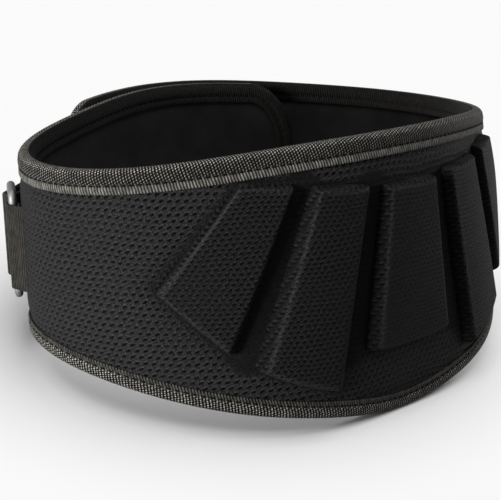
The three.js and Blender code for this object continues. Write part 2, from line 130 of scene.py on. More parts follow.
@dataclass
class BandMap:
    """Maps unrolled places on the band to space.

    Every row of `reach`, `top`, `bottom` and `lean` is 30 degrees further round from the back.
    """

    half_width: float = 157.5
    back_height: float = 155.0
    left_past_front: float = 95.1
    right_past_front: float = 88.7
    rim_thickness: float = 8.9
    overlap_gap: float = 4.4
    mid_height: float = 75.0
    spiral_start: float = 85.0
    spiral_run: float = 60.0
    turn_limit: float = 262.0
    turn_step: float = 0.5
    rest_lean: float = 10.61596
    seat: tuple[float, float, float] = (-0.4486, -30.0923, -17.6940)
    reach: tuple[float, ...] = (0.619, 0.6793, 0.8169, 0.9997, 0.9526, 0.8114, 0.7956)
    top: tuple[float, ...] = (1.0, 0.9895, 0.9489, 0.907, 0.9178, 0.9589, 0.9777)
    bottom: tuple[float, ...] = (0.0, 0.0499, 0.1309, 0.2408, 0.256, 0.257, 0.2704)
    lean: tuple[float, ...] = (-0.05, -0.0929, -0.1133, -0.0355, 0.0311, 0.0347, 0.0268)
    turns: np.ndarray = field(init=False)
    runs: np.ndarray = field(init=False)
    left_length: float = field(init=False)
    right_length: float = field(init=False)

    def __post_init__(self) -> None:
        """Works out the run along the band at every turn, and the lengths of both sides."""
        degrees = np.arange(-self.turn_limit, self.turn_limit + self.turn_step / 2, self.turn_step)
        self.turns = np.radians(degrees)
        point, normal, _ = self.plan(self.turns)
        path = point + normal * self.spiral(self.turns)[:, None]
        lengths = run_lengths(path)
        self.runs = lengths - lengths[len(degrees) // 2]
        self.left_length = self.run_at(math.pi) + self.left_past_front
        self.right_length = self.right_past_front - self.run_at(-math.pi)

    def run_at(self, turn: float) -> float:
        """Run along the band at a turn in radians.

        Args:
            turn: The turn from the back.

        Returns:
            The run in millimetres.
        """
        return float(np.interp(turn, self.turns, self.runs))

    def series(self, column: str) -> np.ndarray:
        """Coefficients of the cosine series through one column's rows.

        Coefficient k is the sum over rows j of weight j times row j times cos(pi j k / last),
        over last, doubled except for the first and last coefficient; end rows weigh one half.

        Args:
            column: Name of the column.

        Returns:
            One coefficient for each row.
        """
        rows = np.array(getattr(self, column))
        last = len(rows) - 1
        order = np.arange(last + 1)
        weight = np.where((order == 0) | (order == last), 0.5, 1.0)
        waves = np.cos(np.pi * np.outer(order, order) / last)
        return (waves @ (weight * rows)) / last * np.where((order == 0) | (order == last), 1.0, 2.0)

    def at(self, column: str, turn: np.ndarray) -> np.ndarray:
        """Value of a column: the sum of coefficient k times cos(k turn).

        Args:
            column: Name of the column.
            turn: Turns from the back, in radians.

        Returns:
            The column's value at each turn.
        """
        share = self.series(column)
        return np.cos(np.multiply.outer(turn, np.arange(len(share)))) @ share

    def slope(self, column: str, turn: np.ndarray) -> np.ndarray:
        """Slope of a column: minus the sum of k times coefficient k times sin(k turn).

        Args:
            column: Name of the column.
            turn: Turns from the back, in radians.

        Returns:
            The slope by the turn.
        """
        share = self.series(column)
        order = np.arange(len(share))
        return -np.sin(np.multiply.outer(turn, order)) @ (share * order)

    def spiral(self, turn: np.ndarray) -> np.ndarray:
        """Shift that lets the two ends pass: half the rim and gap, eased in past the hips.

        Args:
            turn: Turns from the back, in radians.

        Returns:
            Outward shift in millimetres, negative on the left.
        """
        parted = ease((np.degrees(np.abs(turn)) - self.spiral_start) / self.spiral_run)
        return -np.sign(turn) * parted * (self.rim_thickness + self.overlap_gap) / 2

    def plan(self, turn: np.ndarray) -> tuple[np.ndarray, np.ndarray, np.ndarray]:
        """Plan of the loop: a point at reach times (minus sin turn, minus cos turn).

        Args:
            turn: Turns from the back, in radians.

        Returns:
            Points, unit outward normals and unit directions along the band.
        """
        reach = self.half_width * self.at("reach", turn)
        slope = self.half_width * self.slope("reach", turn)
        sine, cosine = np.sin(turn), np.cos(turn)
        point = np.stack([-reach * sine, -reach * cosine], axis=-1)
        along = np.stack([-slope * sine - reach * cosine, -slope * cosine + reach * sine], axis=-1)
        along /= np.linalg.norm(along, axis=-1, keepdims=True)
        return point, np.stack([-along[..., 1], along[..., 0]], axis=-1), along

    def turn_at(self, along: np.ndarray) -> np.ndarray:
        """Turn in radians at a run along the band.

        Args:
            along: Runs in millimetres.

        Returns:
            Turns in radians.
        """
        return np.interp(along, self.runs, self.turns)

    def place(self, along: np.ndarray, height: np.ndarray, out: np.ndarray) -> np.ndarray:
        """Places before the band leans to rest: plan point plus normal times the whole shift.

        Args:
            along: Runs along the band.
            height: Heights.
            out: Distances out of the outer face.

        Returns:
            Points in millimetres, with the three coordinates last.
        """
        along, height, out = np.broadcast_arrays(along, height, out)
        turn = self.turn_at(along)
        point, normal, _ = self.plan(turn)
        shift = out + self.spiral(turn) + self.at("lean", turn) * (height - self.mid_height)
        flat = point + normal * shift[..., None]
        return np.concatenate([flat, height[..., None]], axis=-1)

    def rest(self, points: np.ndarray) -> np.ndarray:
        """Leans points forward about X onto the floor and turns them into metres.

        Args:
            points: Points in millimetres, before the lean.

        Returns:
            Points in metres in the frame.
        """
        return (points @ self.rest_turn().T + np.array(self.seat)) * MM

    def rest_turn(self) -> np.ndarray:
        """Rotation that leans the band forward to rest.

        Returns:
            A 3 by 3 matrix.
        """
        lean = math.radians(-self.rest_lean)
        sine, cosine = math.sin(lean), math.cos(lean)
        return np.array([[1.0, 0.0, 0.0], [0.0, cosine, -sine], [0.0, sine, cosine]])

    def edge(self, edge: Edge, along: np.ndarray) -> np.ndarray:
        """Height of an edge of the band, without its rounded ends.

        Args:
            edge: Which edge.
            along: Runs along the band.

        Returns:
            Heights in millimetres.
        """
        column = "top" if edge is Edge.TOP else "bottom"
        return self.back_height * self.at(column, self.turn_at(along))


@dataclass
class RimPath:
    """The band's whole edge: top, left end, bottom, right end, as one closed path."""

    band: BandMap
    corner_run: float = 30.0
    corner_fall: float = 40.0
    step: float = 4.0
    corner_steps: int = 14
    end_steps: int = 8
    top_lip: float = 12.2
    low_lip: float = 9.8

    def edge_path(self, edge: Edge) -> np.ndarray:
        """One edge from the right end to the left one, quarter ellipses at its corners.

        Args:
            edge: Which edge.

        Returns:
            Unrolled points as (count, 2).
        """
        angle = np.linspace(0.0, np.pi / 2, self.corner_steps + 1)[1:]
        inset = self.corner_run * (1 - np.sin(angle))
        fall = self.corner_fall * (1 - np.cos(angle)) * edge.value
        start = self.corner_run - self.band.right_length
        stop = self.band.left_length - self.corner_run
        straight = np.linspace(start, stop, self.straight_count())
        along = np.concatenate(
            [(inset - self.band.right_length)[::-1], straight, self.band.left_length - inset]
        )
        drop = np.concatenate([fall[::-1], np.zeros_like(straight), fall])
        return np.stack([along, self.band.edge(edge, along) - drop], axis=1)

    def inward(self, path: np.ndarray, edge: Edge) -> np.ndarray:
        """Unit vectors into the band, square to an edge: the run turned by a quarter.

        Args:
            path: Unrolled points of the edge.
            edge: Which edge.

        Returns:
            Vectors as (count, 2).
        """
        run = np.empty_like(path)
        run[1:-1] = path[2:] - path[:-2]
        run[0], run[-1] = (0.0, edge.value), (0.0, -edge.value)
        run /= np.linalg.norm(run, axis=1, keepdims=True)
        return np.stack([run[:, 1], -run[:, 0]], axis=1) * edge.value

    def lip(self, edge: Edge) -> float:
        """Depth of the tape's lip at an edge."""
        return self.top_lip if edge is Edge.TOP else self.low_lip

    def low_span(self) -> tuple[float, float]:
        """Runs along the closed path between which it is the lower edge.

        Returns:
            Middle of the left end and middle of the right end.
        """
        points, _, _ = self.closed()
        lengths = run_lengths(points)
        left = (2 * self.corner_steps + self.straight_count()) + self.end_steps // 2
        return float(lengths[left]), float(lengths[-1 - self.end_steps // 2])

    def straight_count(self) -> int:
        """Points between the rounded corners."""
        span = self.band.left_length + self.band.right_length - 2 * self.corner_run
        return int(round(span / self.step)) + 1

    def closed(self) -> tuple[np.ndarray, np.ndarray, np.ndarray]:
        """The closed path with the straight spans of both ends filled in.

        Returns:
            Points, inward vectors and the tape's depth at each point.
        """
        top, low = self.edge_path(Edge.TOP), self.edge_path(Edge.LOW)
        share = np.linspace(0.0, 1.0, self.end_steps + 2)[1:-1, None]
        left = top[-1] + (low[-1] - top[-1]) * share
        right = low[0] + (top[0] - low[0]) * share
        level = np.ones_like(left) * (1.0, 0.0)
        points = np.concatenate([top, left, low[::-1], right])
        inward = np.concatenate(
            [self.inward(top, Edge.TOP), -level, self.inward(low, Edge.LOW)[::-1], level]
        )
        change = (self.low_lip - self.top_lip) * ease(share[:, 0])
        lip = np.concatenate(
            [
                np.full(len(top), self.top_lip),
                self.top_lip + change,
                np.full(len(low), self.low_lip),
                self.low_lip - change,
            ]
        )
        return points, inward, lip


@dataclass
class Surface:
    """A grid of points with texture coordinates and painted light, and how it closes on itself."""

    points: np.ndarray
    uv: np.ndarray
    wrap_rows: bool = False
    wrap_columns: bool = False
    capped: bool = False
    # Painted light at each point: painted highlight above 0, painted shade below 0.
    painted_light: np.ndarray | None = None

    def quads(self) -> tuple[np.ndarray, np.ndarray]:
        """Faces of the grid.

        Returns:
            Vertex indices as (faces, 4) and texture coordinates as (faces, 4, 2).
        """
        rows, columns = self.points.shape[:2]
        r = np.arange(rows if self.wrap_rows else rows - 1)[:, None]
        c = np.arange(columns if self.wrap_columns else columns - 1)[None, :]
        steps = [(0, 0), (0, 1), (1, 1), (1, 0)]
        corners = [((r + i) % rows) * columns + (c + j) % columns for i, j in steps]
        places = [self.uv[r + i, c + j] for i, j in steps]
        quads = np.stack(corners, axis=-1).reshape(-1, 4)
        return quads, np.stack(places, axis=-2).reshape(-1, 4, 2)

    def caps(self) -> tuple[np.ndarray, np.ndarray]:
        """Faces over the first and the last row, where the surface has them.

        Returns:
            Vertex indices as (faces, columns) and texture coordinates as (faces, columns, 2).
        """
        rows, columns = self.points.shape[:2]
        ring = np.arange(columns)
        last = ring + (rows - 1) * columns
        count = 2 if self.capped else 0
        places = np.stack([self.uv[0, ring[::-1]], self.uv[-1, ring]])
        return np.stack([ring[::-1], last])[:count], places[:count]


class MeshMaker:
    """Turns surfaces into one smooth object on the frame's body."""

    @staticmethod
    def faces_outward(points: np.ndarray, quads: np.ndarray) -> bool:
        """Whether a closed mesh's faces look outward: its signed volume is positive.

        Args:
            points: Points as (count, 3).
            quads: Faces as (count, 4).

        Returns:
            True if they do.
        """
        a, b, c, d = (points[quads[:, i]] for i in range(4))
        volume = np.einsum("ij,ij->i", a, np.cross(b, c) + np.cross(c, d)).sum()
        return bool(volume > 0)

    @staticmethod
    def build(name: str, surfaces: list[Surface], material: bpy.types.Material) -> bpy.types.Object:
        """Makes one object from surfaces, each turned to face outward.

        Args:
            name: Name of the piece.
            surfaces: Its closed surfaces.
            material: Its finish.

        Returns:
            The object, linked to the scene and riding on the body.
        """
        vertices, corners, sizes, places, painted_light = [], [], [], [], []
        count = 0
        for surface in surfaces:
            points = surface.points.reshape(-1, 3)
            faces = (*surface.quads(), *surface.caps())
            if not MeshMaker.faces_outward(points - points.mean(axis=0), faces[0]):
                faces = tuple(part[:, ::-1] for part in faces)
            quads, uv, caps, cap_uv = faces
            vertices.append(points)
            corners.append(np.concatenate([quads.ravel(), caps.ravel()]) + count)
            sizes.append(np.repeat([4, caps.shape[1]], [len(quads), len(caps)]))
            places.append(np.concatenate([uv.reshape(-1, 2), cap_uv.reshape(-1, 2)]))
            painted_light.append(np.zeros(len(points)) if surface.painted_light is None else surface.painted_light.ravel())
            count += len(points)
        size = np.concatenate(sizes)
        mesh = bpy.data.meshes.new(name)
        mesh.vertices.add(count)
        mesh.vertices.foreach_set("co", np.concatenate(vertices).astype(np.float32).ravel())
        mesh.loops.add(int(size.sum()))
        mesh.loops.foreach_set("vertex_index", np.concatenate(corners).astype(np.int32))
        mesh.polygons.add(len(size))
        mesh.polygons.foreach_set("loop_start", (np.cumsum(size) - size).astype(np.int32))
        mesh.update(calc_edges=True)
        layer = mesh.uv_layers.new(name="weave")
        layer.data.foreach_set("uv", np.concatenate(places).astype(np.float32).ravel())
        # Layer of painted light: painted highlight above 0, painted shade below 0.
        painted_highlight = mesh.attributes.new("painted_light", "FLOAT", "POINT")
        painted_highlight.data.foreach_set("value", np.concatenate(painted_light).astype(np.float32))
        mesh.polygons.foreach_set("use_smooth", [True] * len(mesh.polygons))
        mesh.materials.append(material)
        mesh.update()
        piece = bpy.data.objects.new(name, mesh)
        bpy.context.scene.collection.objects.link(piece)
        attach(piece, BODY)
        LOG.info("%s: %d faces", name, len(mesh.polygons))
        return piece


Colour = tuple[float, float, float, float]


def tinted(colour: Colour, share: float) -> Colour:
    """A colour times a share, still opaque."""
    return tuple(share * x for x in colour[:3]) + (1.0,)


class Signal:
    """An output of a shader node that takes part in sums and products."""

    def __init__(self, web: "NodeWeb", socket: bpy.types.NodeSocket) -> None:
        """Wraps an output.

        Args:
            web: The nodes that it belongs to.
            socket: The output socket.
        """
        self.web, self.socket = web, socket

    def __add__(self, other: "Signal | float") -> "Signal":
        """The sum of both."""
        return self.web.math("ADD", self, other)

    def __sub__(self, other: "Signal | float") -> "Signal":
        """This one less the other."""
        return self.web.math("SUBTRACT", self, other)

    def __rsub__(self, other: float) -> "Signal":
        """A number less this one."""
        return self.web.math("SUBTRACT", other, self)

    def __mul__(self, other: "Signal | float") -> "Signal":
        """The product of both."""
        return self.web.math("MULTIPLY", self, other)

    def __truediv__(self, other: "Signal | float") -> "Signal":
        """This one over the other."""
        return self.web.math("DIVIDE", self, other)

    def __abs__(self) -> "Signal":
        """This one without its sign."""
        return self.web.math("ABSOLUTE", self)


class NodeWeb:
    """Shader nodes of one material, wired by small calls."""

    def __init__(self, name: str) -> None:
        """Starts a material that holds one principled shader.

        Args:
            name: Name of the material.
        """
        self.material = bpy.data.materials.new(name)
        self.material.use_nodes = True
        self.tree = self.material.node_tree
        self.shader = self.tree.nodes["Principled BSDF"]

    def put(self, target: bpy.types.NodeSocket, value: object) -> None:
        """Sets an input to a number or a colour, or wires it to a signal.

        Args:
            target: The input socket.
            value: A number, a colour or a signal.
        """
        if isinstance(value, Signal):
            self.tree.links.new(value.socket, target)
        else:
            target.default_value = value

    def add(
        self, kind: str, inputs: dict[str | int, object], output: str | int = 0, **settings: str
    ) -> Signal:
        """Adds a node.

        Args:
            kind: Its type, without the shader node prefix.
            inputs: Values of its inputs, by name or place.
            output: Name or place of the wanted output.
            settings: Its settings.

        Returns:
            That output.
        """
        node = self.tree.nodes.new(f"ShaderNode{kind}")
        for key, value in settings.items():
            setattr(node, key, value)
        for key, value in inputs.items():
            self.put(node.inputs[key], value)
        return Signal(self, node.outputs[output])

    def dress(self, inputs: dict[str, object]) -> bpy.types.Material:
        """Sets the shader's inputs.

        Args:
            inputs: Values by the inputs' names.

        Returns:
            The finished material.
        """
        for key, value in inputs.items():
            self.put(self.shader.inputs[key], value)
        return self.material

    def math(self, operation: str, *values: object) -> Signal:
        """The result of a maths node.

        Args:
            operation: Its operation.
            values: Its inputs, in order.

        Returns:
            Its output.
        """
        return self.add("Math", dict(enumerate(values)), operation=operation)

    def weave(self) -> tuple[Signal, Signal]:
        """The piece's own texture coordinates, in millimetres.

        Returns:
            The run along the weave and the run across it.
        """
        spot = self.add("UVMap", {}, uv_map="weave")
        return self.add("SeparateXYZ", {0: spot}, 0), self.add("SeparateXYZ", {0: spot}, 1)

    def noise(self, scale: float, detail: float = 3.0) -> Signal:
        """Noise over the object's own coordinates.

        Args:
            scale: Its scale for each metre.
            detail: Its octaves.

        Returns:
            A value from 0 to 1.
        """
        place = self.add("TexCoord", {}, "Object")
        return self.add("TexNoise", {"Vector": place, "Scale": scale, "Detail": detail}, "Fac")

    def streaks(self, along: Signal, across: Signal, size: tuple[float, float]) -> Signal:
        """Noise over the weave, drawn out along it.

        Args:
            along: Run along, in millimetres.
            across: Run across, in millimetres.
            size: Length and height of a streak, in millimetres.

        Returns:
            A value from 0 to 1.
        """
        place = self.add("CombineXYZ", {0: along / size[0], 1: across / size[1]})
        return self.add("TexNoise", {"Vector": place, "Scale": 1.0, "Detail": 1.0}, "Fac")

    def between(
        self, value: Signal, span: tuple[float, float], start: float = 0.0, stop: float = 1.0
    ) -> Signal:
        """Eases a value from one range into another.

        Args:
            value: The value.
            span: Start and end of its range.
            start: Result at the start.
            stop: Result at the end.

        Returns:
            The eased value.
        """
        inputs = dict(enumerate((value, *span, start, stop)))
        return self.add("MapRange", inputs, interpolation_type="SMOOTHSTEP")

    def past(self, run: Signal, place: float, blend: float) -> Signal:
        """0 before a place and 1 past it.

        Args:
            run: A run in millimetres.
            place: The place on it.
            blend: Half the length over which it changes.

        Returns:
            The share.
        """
        return self.between(run, (place - blend, place + blend))

    def wave(self, run: Signal, pitch: float) -> Signal:
        """Half of 1 plus cos(2 pi run / pitch).

        Args:
            run: A run in millimetres.
            pitch: Its repeat.

        Returns:
            The wave, from 0 to 1.
        """
        return self.math("COSINE", run * (2 * math.pi / pitch)) * 0.5 + 0.5

    def mixed(self, share: Signal, first: object, second: object) -> Signal:
        """Mixes two colours.

        Args:
            share: Share of the second.
            first: A colour or a signal.
            second: The same.

        Returns:
            The mixed colour.
        """
        return self.add("Mix", {0: share, 6: first, 7: second}, 2, data_type="RGBA")

    def bump(self, height: Signal, depth: float, under: Signal | None = None) -> Signal:
        """Relief from a height.

        Args:
            height: Height from 0 to 1.
            depth: Its depth in metres.
            under: Relief that it lies on.

        Returns:
            The normal.
        """
        inputs = {"Distance": depth, "Height": height}
        if under is not None:
            inputs["Normal"] = under
        return self.add("Bump", inputs)


@dataclass(frozen=True)
class MeshCloth:
    """Spacer mesh: rows of small slanting holes, each row shifted by half, in a flecked knit.

    A per-point attribute paints light: below 0 it is painted shade on compressed cloth and on the
    pads' bevels, above 0 a painted highlight on cloth stretched over a ridge; both can close the
    holes. The glints above the holes and the lighter tone along the rows' ridges are painted
    highlights too. Lengths are in millimetres, depths in metres and noises are scales for each
    metre. `dark`, `light` and `shine` are shares of the thread's colour, `shine` that of the
    painted highlight.
    """

    name: str
    thread: Colour
    # Colour of the holes, and the colour that painted shade darkens the cloth towards.
    hollow: Colour = (0.0004, 0.0004, 0.0004, 1.0)
    pitch: tuple[float, float] = (4.3, 6.4)
    hole: tuple[float, float] = (1.25, 0.62)
    slant: float = -22.0
    hole_rim: tuple[float, float] = (0.95, 1.2)
    glint_rim: tuple[float, float] = (0.5, 1.3)
    glint_rise: float = 1.15
    cells_aside: float = 500.0
    stretched: tuple[float, float] = (150.0, 230.0)
    stretched_open: float = 0.75
    patch_noise: float = 45.0
    patch_span: tuple[float, float] = (0.35, 0.55)
    patch_open: float = 0.8
    sway_noise: float = 30.0
    sway: float = 5.0
    fleck: tuple[float, float] = (1.2, 0.55)
    fleck_span: tuple[float, float] = (0.34, 0.66)
    glint_share: float = 0.35
    ridge_share: float = 0.15
    fleck_share: float = 0.5
    dark: float = 0.6
    light: float = 3.2
    shine: float = 6.0
    rough_ridge: float = 0.45
    flattened: float = 0.85
    closed: float = 1.0
    # Share of painted shade towards the hole colour at an attribute of -1, less at the glints.
    painted_shade_share: float = 0.65
    glint_left: float = 0.4
    depth: float = 0.001
    fleck_depth: float = 0.0003
    roughness: float = 0.6
    sheen: float = 0.01
    sheen_roughness: float = 0.4
    specular: float = 0.02
    plain_patch: tuple[float, float] | None = None
    patch_blend: float = 1.5

    def hole_distance(self, web: NodeWeb, u: Signal, v: Signal, shift: float) -> Signal:
        """Distance to the nearest hole of one lattice, 1 at its rim.

        The offsets from the cell's middle are turned by the slant; then the root of (long offset
        over half length) squared plus (short offset over half height) squared.

        Args:
            web: The material's nodes.
            u: Run along, in millimetres.
            v: Run across, in millimetres.
            shift: Shift of the lattice, in pitches.

        Returns:
            The distance.
        """
        x, y = (
            (web.math("FRACT", run / pitch + (shift + self.cells_aside)) - 0.5) * pitch
            for run, pitch in zip((u, v), self.pitch)
        )
        sine, cosine = math.sin(math.radians(self.slant)), math.cos(math.radians(self.slant))
        long = (x * cosine + y * sine) / self.hole[0]
        short = (y * cosine - x * sine) / self.hole[1]
        return web.math("SQRT", long * long + short * short)

    def nearest_hole(
        self, web: NodeWeb, u: Signal, v: Signal, rim: tuple[float, float]
    ) -> Signal:
        """1 inside the holes of both lattices, eased to 0 across their rims.

        Args:
            web: The material's nodes.
            u: Run along, in millimetres.
            v: Run across, in millimetres.
            rim: Start and end of the rim, as shares of the hole's size.

        Returns:
            The share of hole.
        """
        first, second = (self.hole_distance(web, u, v, shift) for shift in (0.0, 0.5))
        return web.between(web.math("MINIMUM", first, second), rim, 1.0, 0.0)

    def beside_patch(self, web: NodeWeb) -> Signal:
        """0 on the plain patch of cloth above the webbing, 1 beside it.

        Args:
            web: The material's nodes.

        Returns:
            The share of mesh.
        """
        past, above = (
            web.past(run, place, self.patch_blend)
            for run, place in zip(web.weave(), self.plain_patch)
        )
        return 1.0 - past * above

    def material(self) -> bpy.types.Material:
        """Builds the finish.

        Returns:
            The material.
        """
        web = NodeWeb(self.name)
        along, across = web.weave()
        sway = (web.noise(self.sway_noise) - 0.5) * self.sway
        along, across = along + sway, across - sway
        open_share = web.between(abs(along), self.stretched, 1.0, self.stretched_open)
        patches = web.between(web.noise(self.patch_noise), self.patch_span, self.patch_open)
        open_share = open_share * patches
        hole = self.nearest_hole(web, along, across, self.hole_rim) * open_share
        above = across - self.glint_rise
        glint = self.nearest_hole(web, along, above, self.glint_rim) * open_share
        # Ridges along the rows: raised in the bump, and lighter in the tone as a painted highlight.
        ridge = web.wave(across, self.pitch[1] / 2)
        if self.plain_patch is not None:
            beside = self.beside_patch(web)
            hole, glint, ridge = hole * beside, glint * beside, ridge * beside
        fleck = web.between(web.streaks(along, across, self.fleck), self.fleck_span)
        # The attribute of painted light: painted highlight above 0, painted shade below 0.
        painted_light = web.add("Attribute", {}, "Fac", attribute_name="painted_light")
        # The painted highlight, broken up by the flecks, and the painted shade; both flatten the
        # holes, the shade as far as `closed` lets it.
        rough = fleck * self.rough_ridge + (1.0 - self.rough_ridge)
        painted_highlight = web.math("MAXIMUM", painted_light, 0.0) * rough
        painted_shade = web.math("MAXIMUM", painted_light * -1.0, 0.0)
        flat = 1.0 - web.math("MAXIMUM", painted_highlight, painted_shade * self.closed) * self.flattened
        hole, glint = hole * flat, glint * flat
        solid = 1.0 - hole
        # Tone: painted highlight at the glints and along the ridges, and random flecks.
        tone = glint * self.glint_share + ridge * self.ridge_share + fleck * self.fleck_share
        dark, light, shine = (tinted(self.thread, x) for x in (self.dark, self.light, self.shine))
        # Painted highlight: where the attribute is above 0 the tone runs from `light` to `shine`.
        cloth = web.mixed(painted_highlight, web.mixed(tone, dark, light), web.mixed(tone, light, shine))
        # Painted shade: compressed cloth and bevels darkened towards the hole colour, glints kept.
        painted_shade_share = painted_shade * (self.painted_shade_share - glint * self.glint_left)
        cloth = web.mixed(painted_shade_share, cloth, self.hollow)
        under = web.bump(fleck, self.fleck_depth)
        return web.dress(
            {
                "Base Color": web.mixed(solid, self.hollow, cloth),
                "Roughness": self.roughness,
                "Sheen Weight": self.sheen,
                "Sheen Roughness": self.sheen_roughness,
                "Specular IOR Level": self.specular,
                "Normal": web.bump((ridge + solid) * 0.5, self.depth, under),
            }
        )


@dataclass(frozen=True)
class TapeZones:
    """Bands of the edge tape, in millimetres across it from its outer lip, and their painted light:
    a painted highlight on the crest, painted shade in the groove and inside the loop.

    The last number of each light is for the lower edge, where the bands are painted as lit the
    other way.
    """

    groove: tuple[float, float] = (4.5, 6.2)
    crest_start: float = 12.0
    inside: float = 17.6
    blend: float = 0.6
    end_blend: float = 8.0
    selvedge_light: tuple[float, float] = (0.5, 0.2)
    groove_light: tuple[float, float] = (0.3, 0.3)
    band_light: tuple[float, float] = (0.5, 0.95)
    crest_light: tuple[float, float] = (1.15, 0.65)
    inside_light: tuple[float, float] = (0.02, 0.02)
    low_span: tuple[float, float] = (0.0, 0.0)


@dataclass(frozen=True)
class RibbedCloth:
    """Ribbed tape or webbing: ribs across its run, with weft rows over them, coloured from the
    valley colour to the crest colour: painted shade between the ribs, a painted highlight on them.

    Lengths are in millimetres, depths in metres and noises are scales for each metre.
    """

    name: str
    # Colour of the ribs' tops, a painted highlight, and between them, painted shade.
    crest: Colour
    valley: Colour
    pitch: float = 1.65
    slant: float = -0.25
    weft: float = 1.6
    weft_lean: float = 0.5
    weft_share: float = 0.8
    depth: float = 0.0005
    sway_noise: float = 220.0
    sway: float = 0.9
    dot_span: tuple[float, float] = (0.15, 0.8)
    rib_share: float = 0.9
    rubbed_noise: float = 300.0
    rubbed_span: tuple[float, float] = (0.35, 0.65)
    rubbed: float = 0.5
    grain_noise: float = 2000.0
    grain_depth: float = 0.00006
    roughness: float = 0.68
    sheen: float = 0.01
    specular: float = 0.03
    zones: TapeZones | None = None

    def zone_light(self, web: NodeWeb, along: Signal, across: Signal) -> tuple[Signal, Signal]:
        """Painted light on the tape: each band's light eased into the next one across the tape.

        Args:
            web: The material's nodes.
            along: Run along the tape.
            across: Run across it.

        Returns:
            The painted light, and the share of the main band and the crest.
        """
        z = self.zones
        start, stop = (web.past(along, place, z.end_blend) for place in z.low_span)
        below = start * (1.0 - stop)
        lights = (z.selvedge_light, z.groove_light, z.band_light, z.crest_light, z.inside_light)
        levels = [below * (low - top) + top for top, low in lights]
        light = levels[0]
        for place, level in zip((*z.groove, z.crest_start, z.inside), levels[1:]):
            light = web.past(across, place, z.blend) * (level - light) + light
        first, last = (web.past(across, place, z.blend) for place in (z.groove[1], z.inside))
        return light, first * (1.0 - last)

    def material(self) -> bpy.types.Material:
        """Builds the finish: ribs, weft rows between them, and on the tape bands of painted light.

        Returns:
            The material.
        """
        web = NodeWeb(self.name)
        along, across = web.weave()
        sway = (web.noise(self.sway_noise, 1.0) - 0.5) * self.sway
        rib = web.wave(across * self.slant + along + sway, self.pitch)
        weft = web.wave(along * self.weft_lean + across, self.weft)
        cloth = rib * (weft * self.weft_share + (1.0 - self.weft_share))
        share = cloth
        if self.zones is not None:
            # Painted highlight and painted shade across the tape's bands.
            light, band = self.zone_light(web, along, across)
            dots = web.between(cloth, self.dot_span)
            rib = rib * self.rib_share + (1.0 - self.rib_share)
            cloth = band * (dots - rib) + rib
            share = cloth * light
        share = share * web.between(web.noise(self.rubbed_noise), self.rubbed_span, self.rubbed)
        under = web.bump(web.noise(self.grain_noise), self.grain_depth)
        return web.dress(
            {
                "Base Color": web.mixed(share, self.valley, self.crest),
                "Roughness": self.roughness,
                "Sheen Weight": self.sheen,
                "Specular IOR Level": self.specular,
                "Normal": web.bump(cloth, self.depth, under),
            }
        )


@dataclass(frozen=True)
class PlainFinish:
    """A plain finish with a fine grain: lining, thread, floor or satin metal."""

    name: str
    colour: Colour
    roughness: float
    grain_noise: float = 1500.0
    grain_depth: float = 0.0001
    metallic: float = 0.0
    sheen: float = 0.0
    specular: float = 0.03
    mottle: float = 0.0
    mottle_noise: float = 42.0
    mottle_detail: float = 5.0
    mottle_span: tuple[float, float] = (0.3, 0.7)

    def material(self) -> bpy.types.Material:
        """Builds the finish.

        Returns:
            The material.
        """
        web = NodeWeb(self.name)
        inputs = {
            "Base Color": self.colour,
            "Roughness": self.roughness,
            "Metallic": self.metallic,
            "Sheen Weight": self.sheen,
        }
        if self.mottle > 0:
            noise = web.noise(self.mottle_noise, self.mottle_detail)
            patches = web.between(noise, self.mottle_span)
            low, high = (tinted(self.colour, 1 + sign * self.mottle) for sign in (-1, 1))
            inputs["Base Color"] = web.mixed(patches, low, high)
        if self.metallic == 0:
            inputs["Specular IOR Level"] = self.specular
        if self.grain_depth > 0:
            inputs["Normal"] = web.bump(web.noise(self.grain_noise), self.grain_depth)
        return web.dress(inputs)


@dataclass(frozen=True)
class PadShape:
    """One back pad: corners as shares of the fan's reach and of the back's height.

    Its lower edge sags, and its sides are bevelled, by lengths in millimetres.
    """

    name: str
    top_a: tuple[float, float]
    top_b: tuple[float, float]
    low_a: tuple[float, float]
    low_b: tuple[float, float]
    sag: float
    bevel: float

    def corners(self, reach: float, height: float, side: Side) -> np.ndarray:
        """Corners in millimetres: top a, top b, low b, low a.

        Args:
            reach: Reach of the fan.
            height: Height of the back.
            side: Which side it lies on.

        Returns:
            Points as (4, 2).
        """
        share = np.array([self.top_a, self.top_b, self.low_b, self.low_a])
        return share * (reach * side.value, height)


PAD_SHAPES = (
    PadShape(
        "centre", (-0.1354, 0.8271), (0.1354, 0.8271), (-0.2204, 0.2645), (0.2204, 0.2645), 3.0, 5.0
    ),
    PadShape(
        "inner", (0.1973, 0.8394), (0.432, 0.8548), (0.3367, 0.146), (0.6565, 0.2677), 1.5, 5.0
    ),
    PadShape(
        "outer", (0.4946, 0.8645), (0.7014, 0.8781), (0.7313, 0.3123), (1.0, 0.5374), 0.0, 3.4
    ),
)


def distance_outside(spots: np.ndarray, corners: np.ndarray) -> np.ndarray:
    """Distance from points to a convex outline's edges, whichever side they are on.

    Args:
        spots: Points as (..., 2).
        corners: Outline as (count, 2).

    Returns:
        Distances in the points' units.
    """
    nearest = np.full(spots.shape[:-1], np.inf)
    for start, stop in zip(corners, np.roll(corners, -1, axis=0)):
        side = stop - start
        share = np.clip(((spots - start) @ side) / (side @ side), 0.0, 1.0)
        gap = np.linalg.norm(spots - start - share[..., None] * side, axis=-1)
        nearest = np.minimum(nearest, gap)
    return nearest


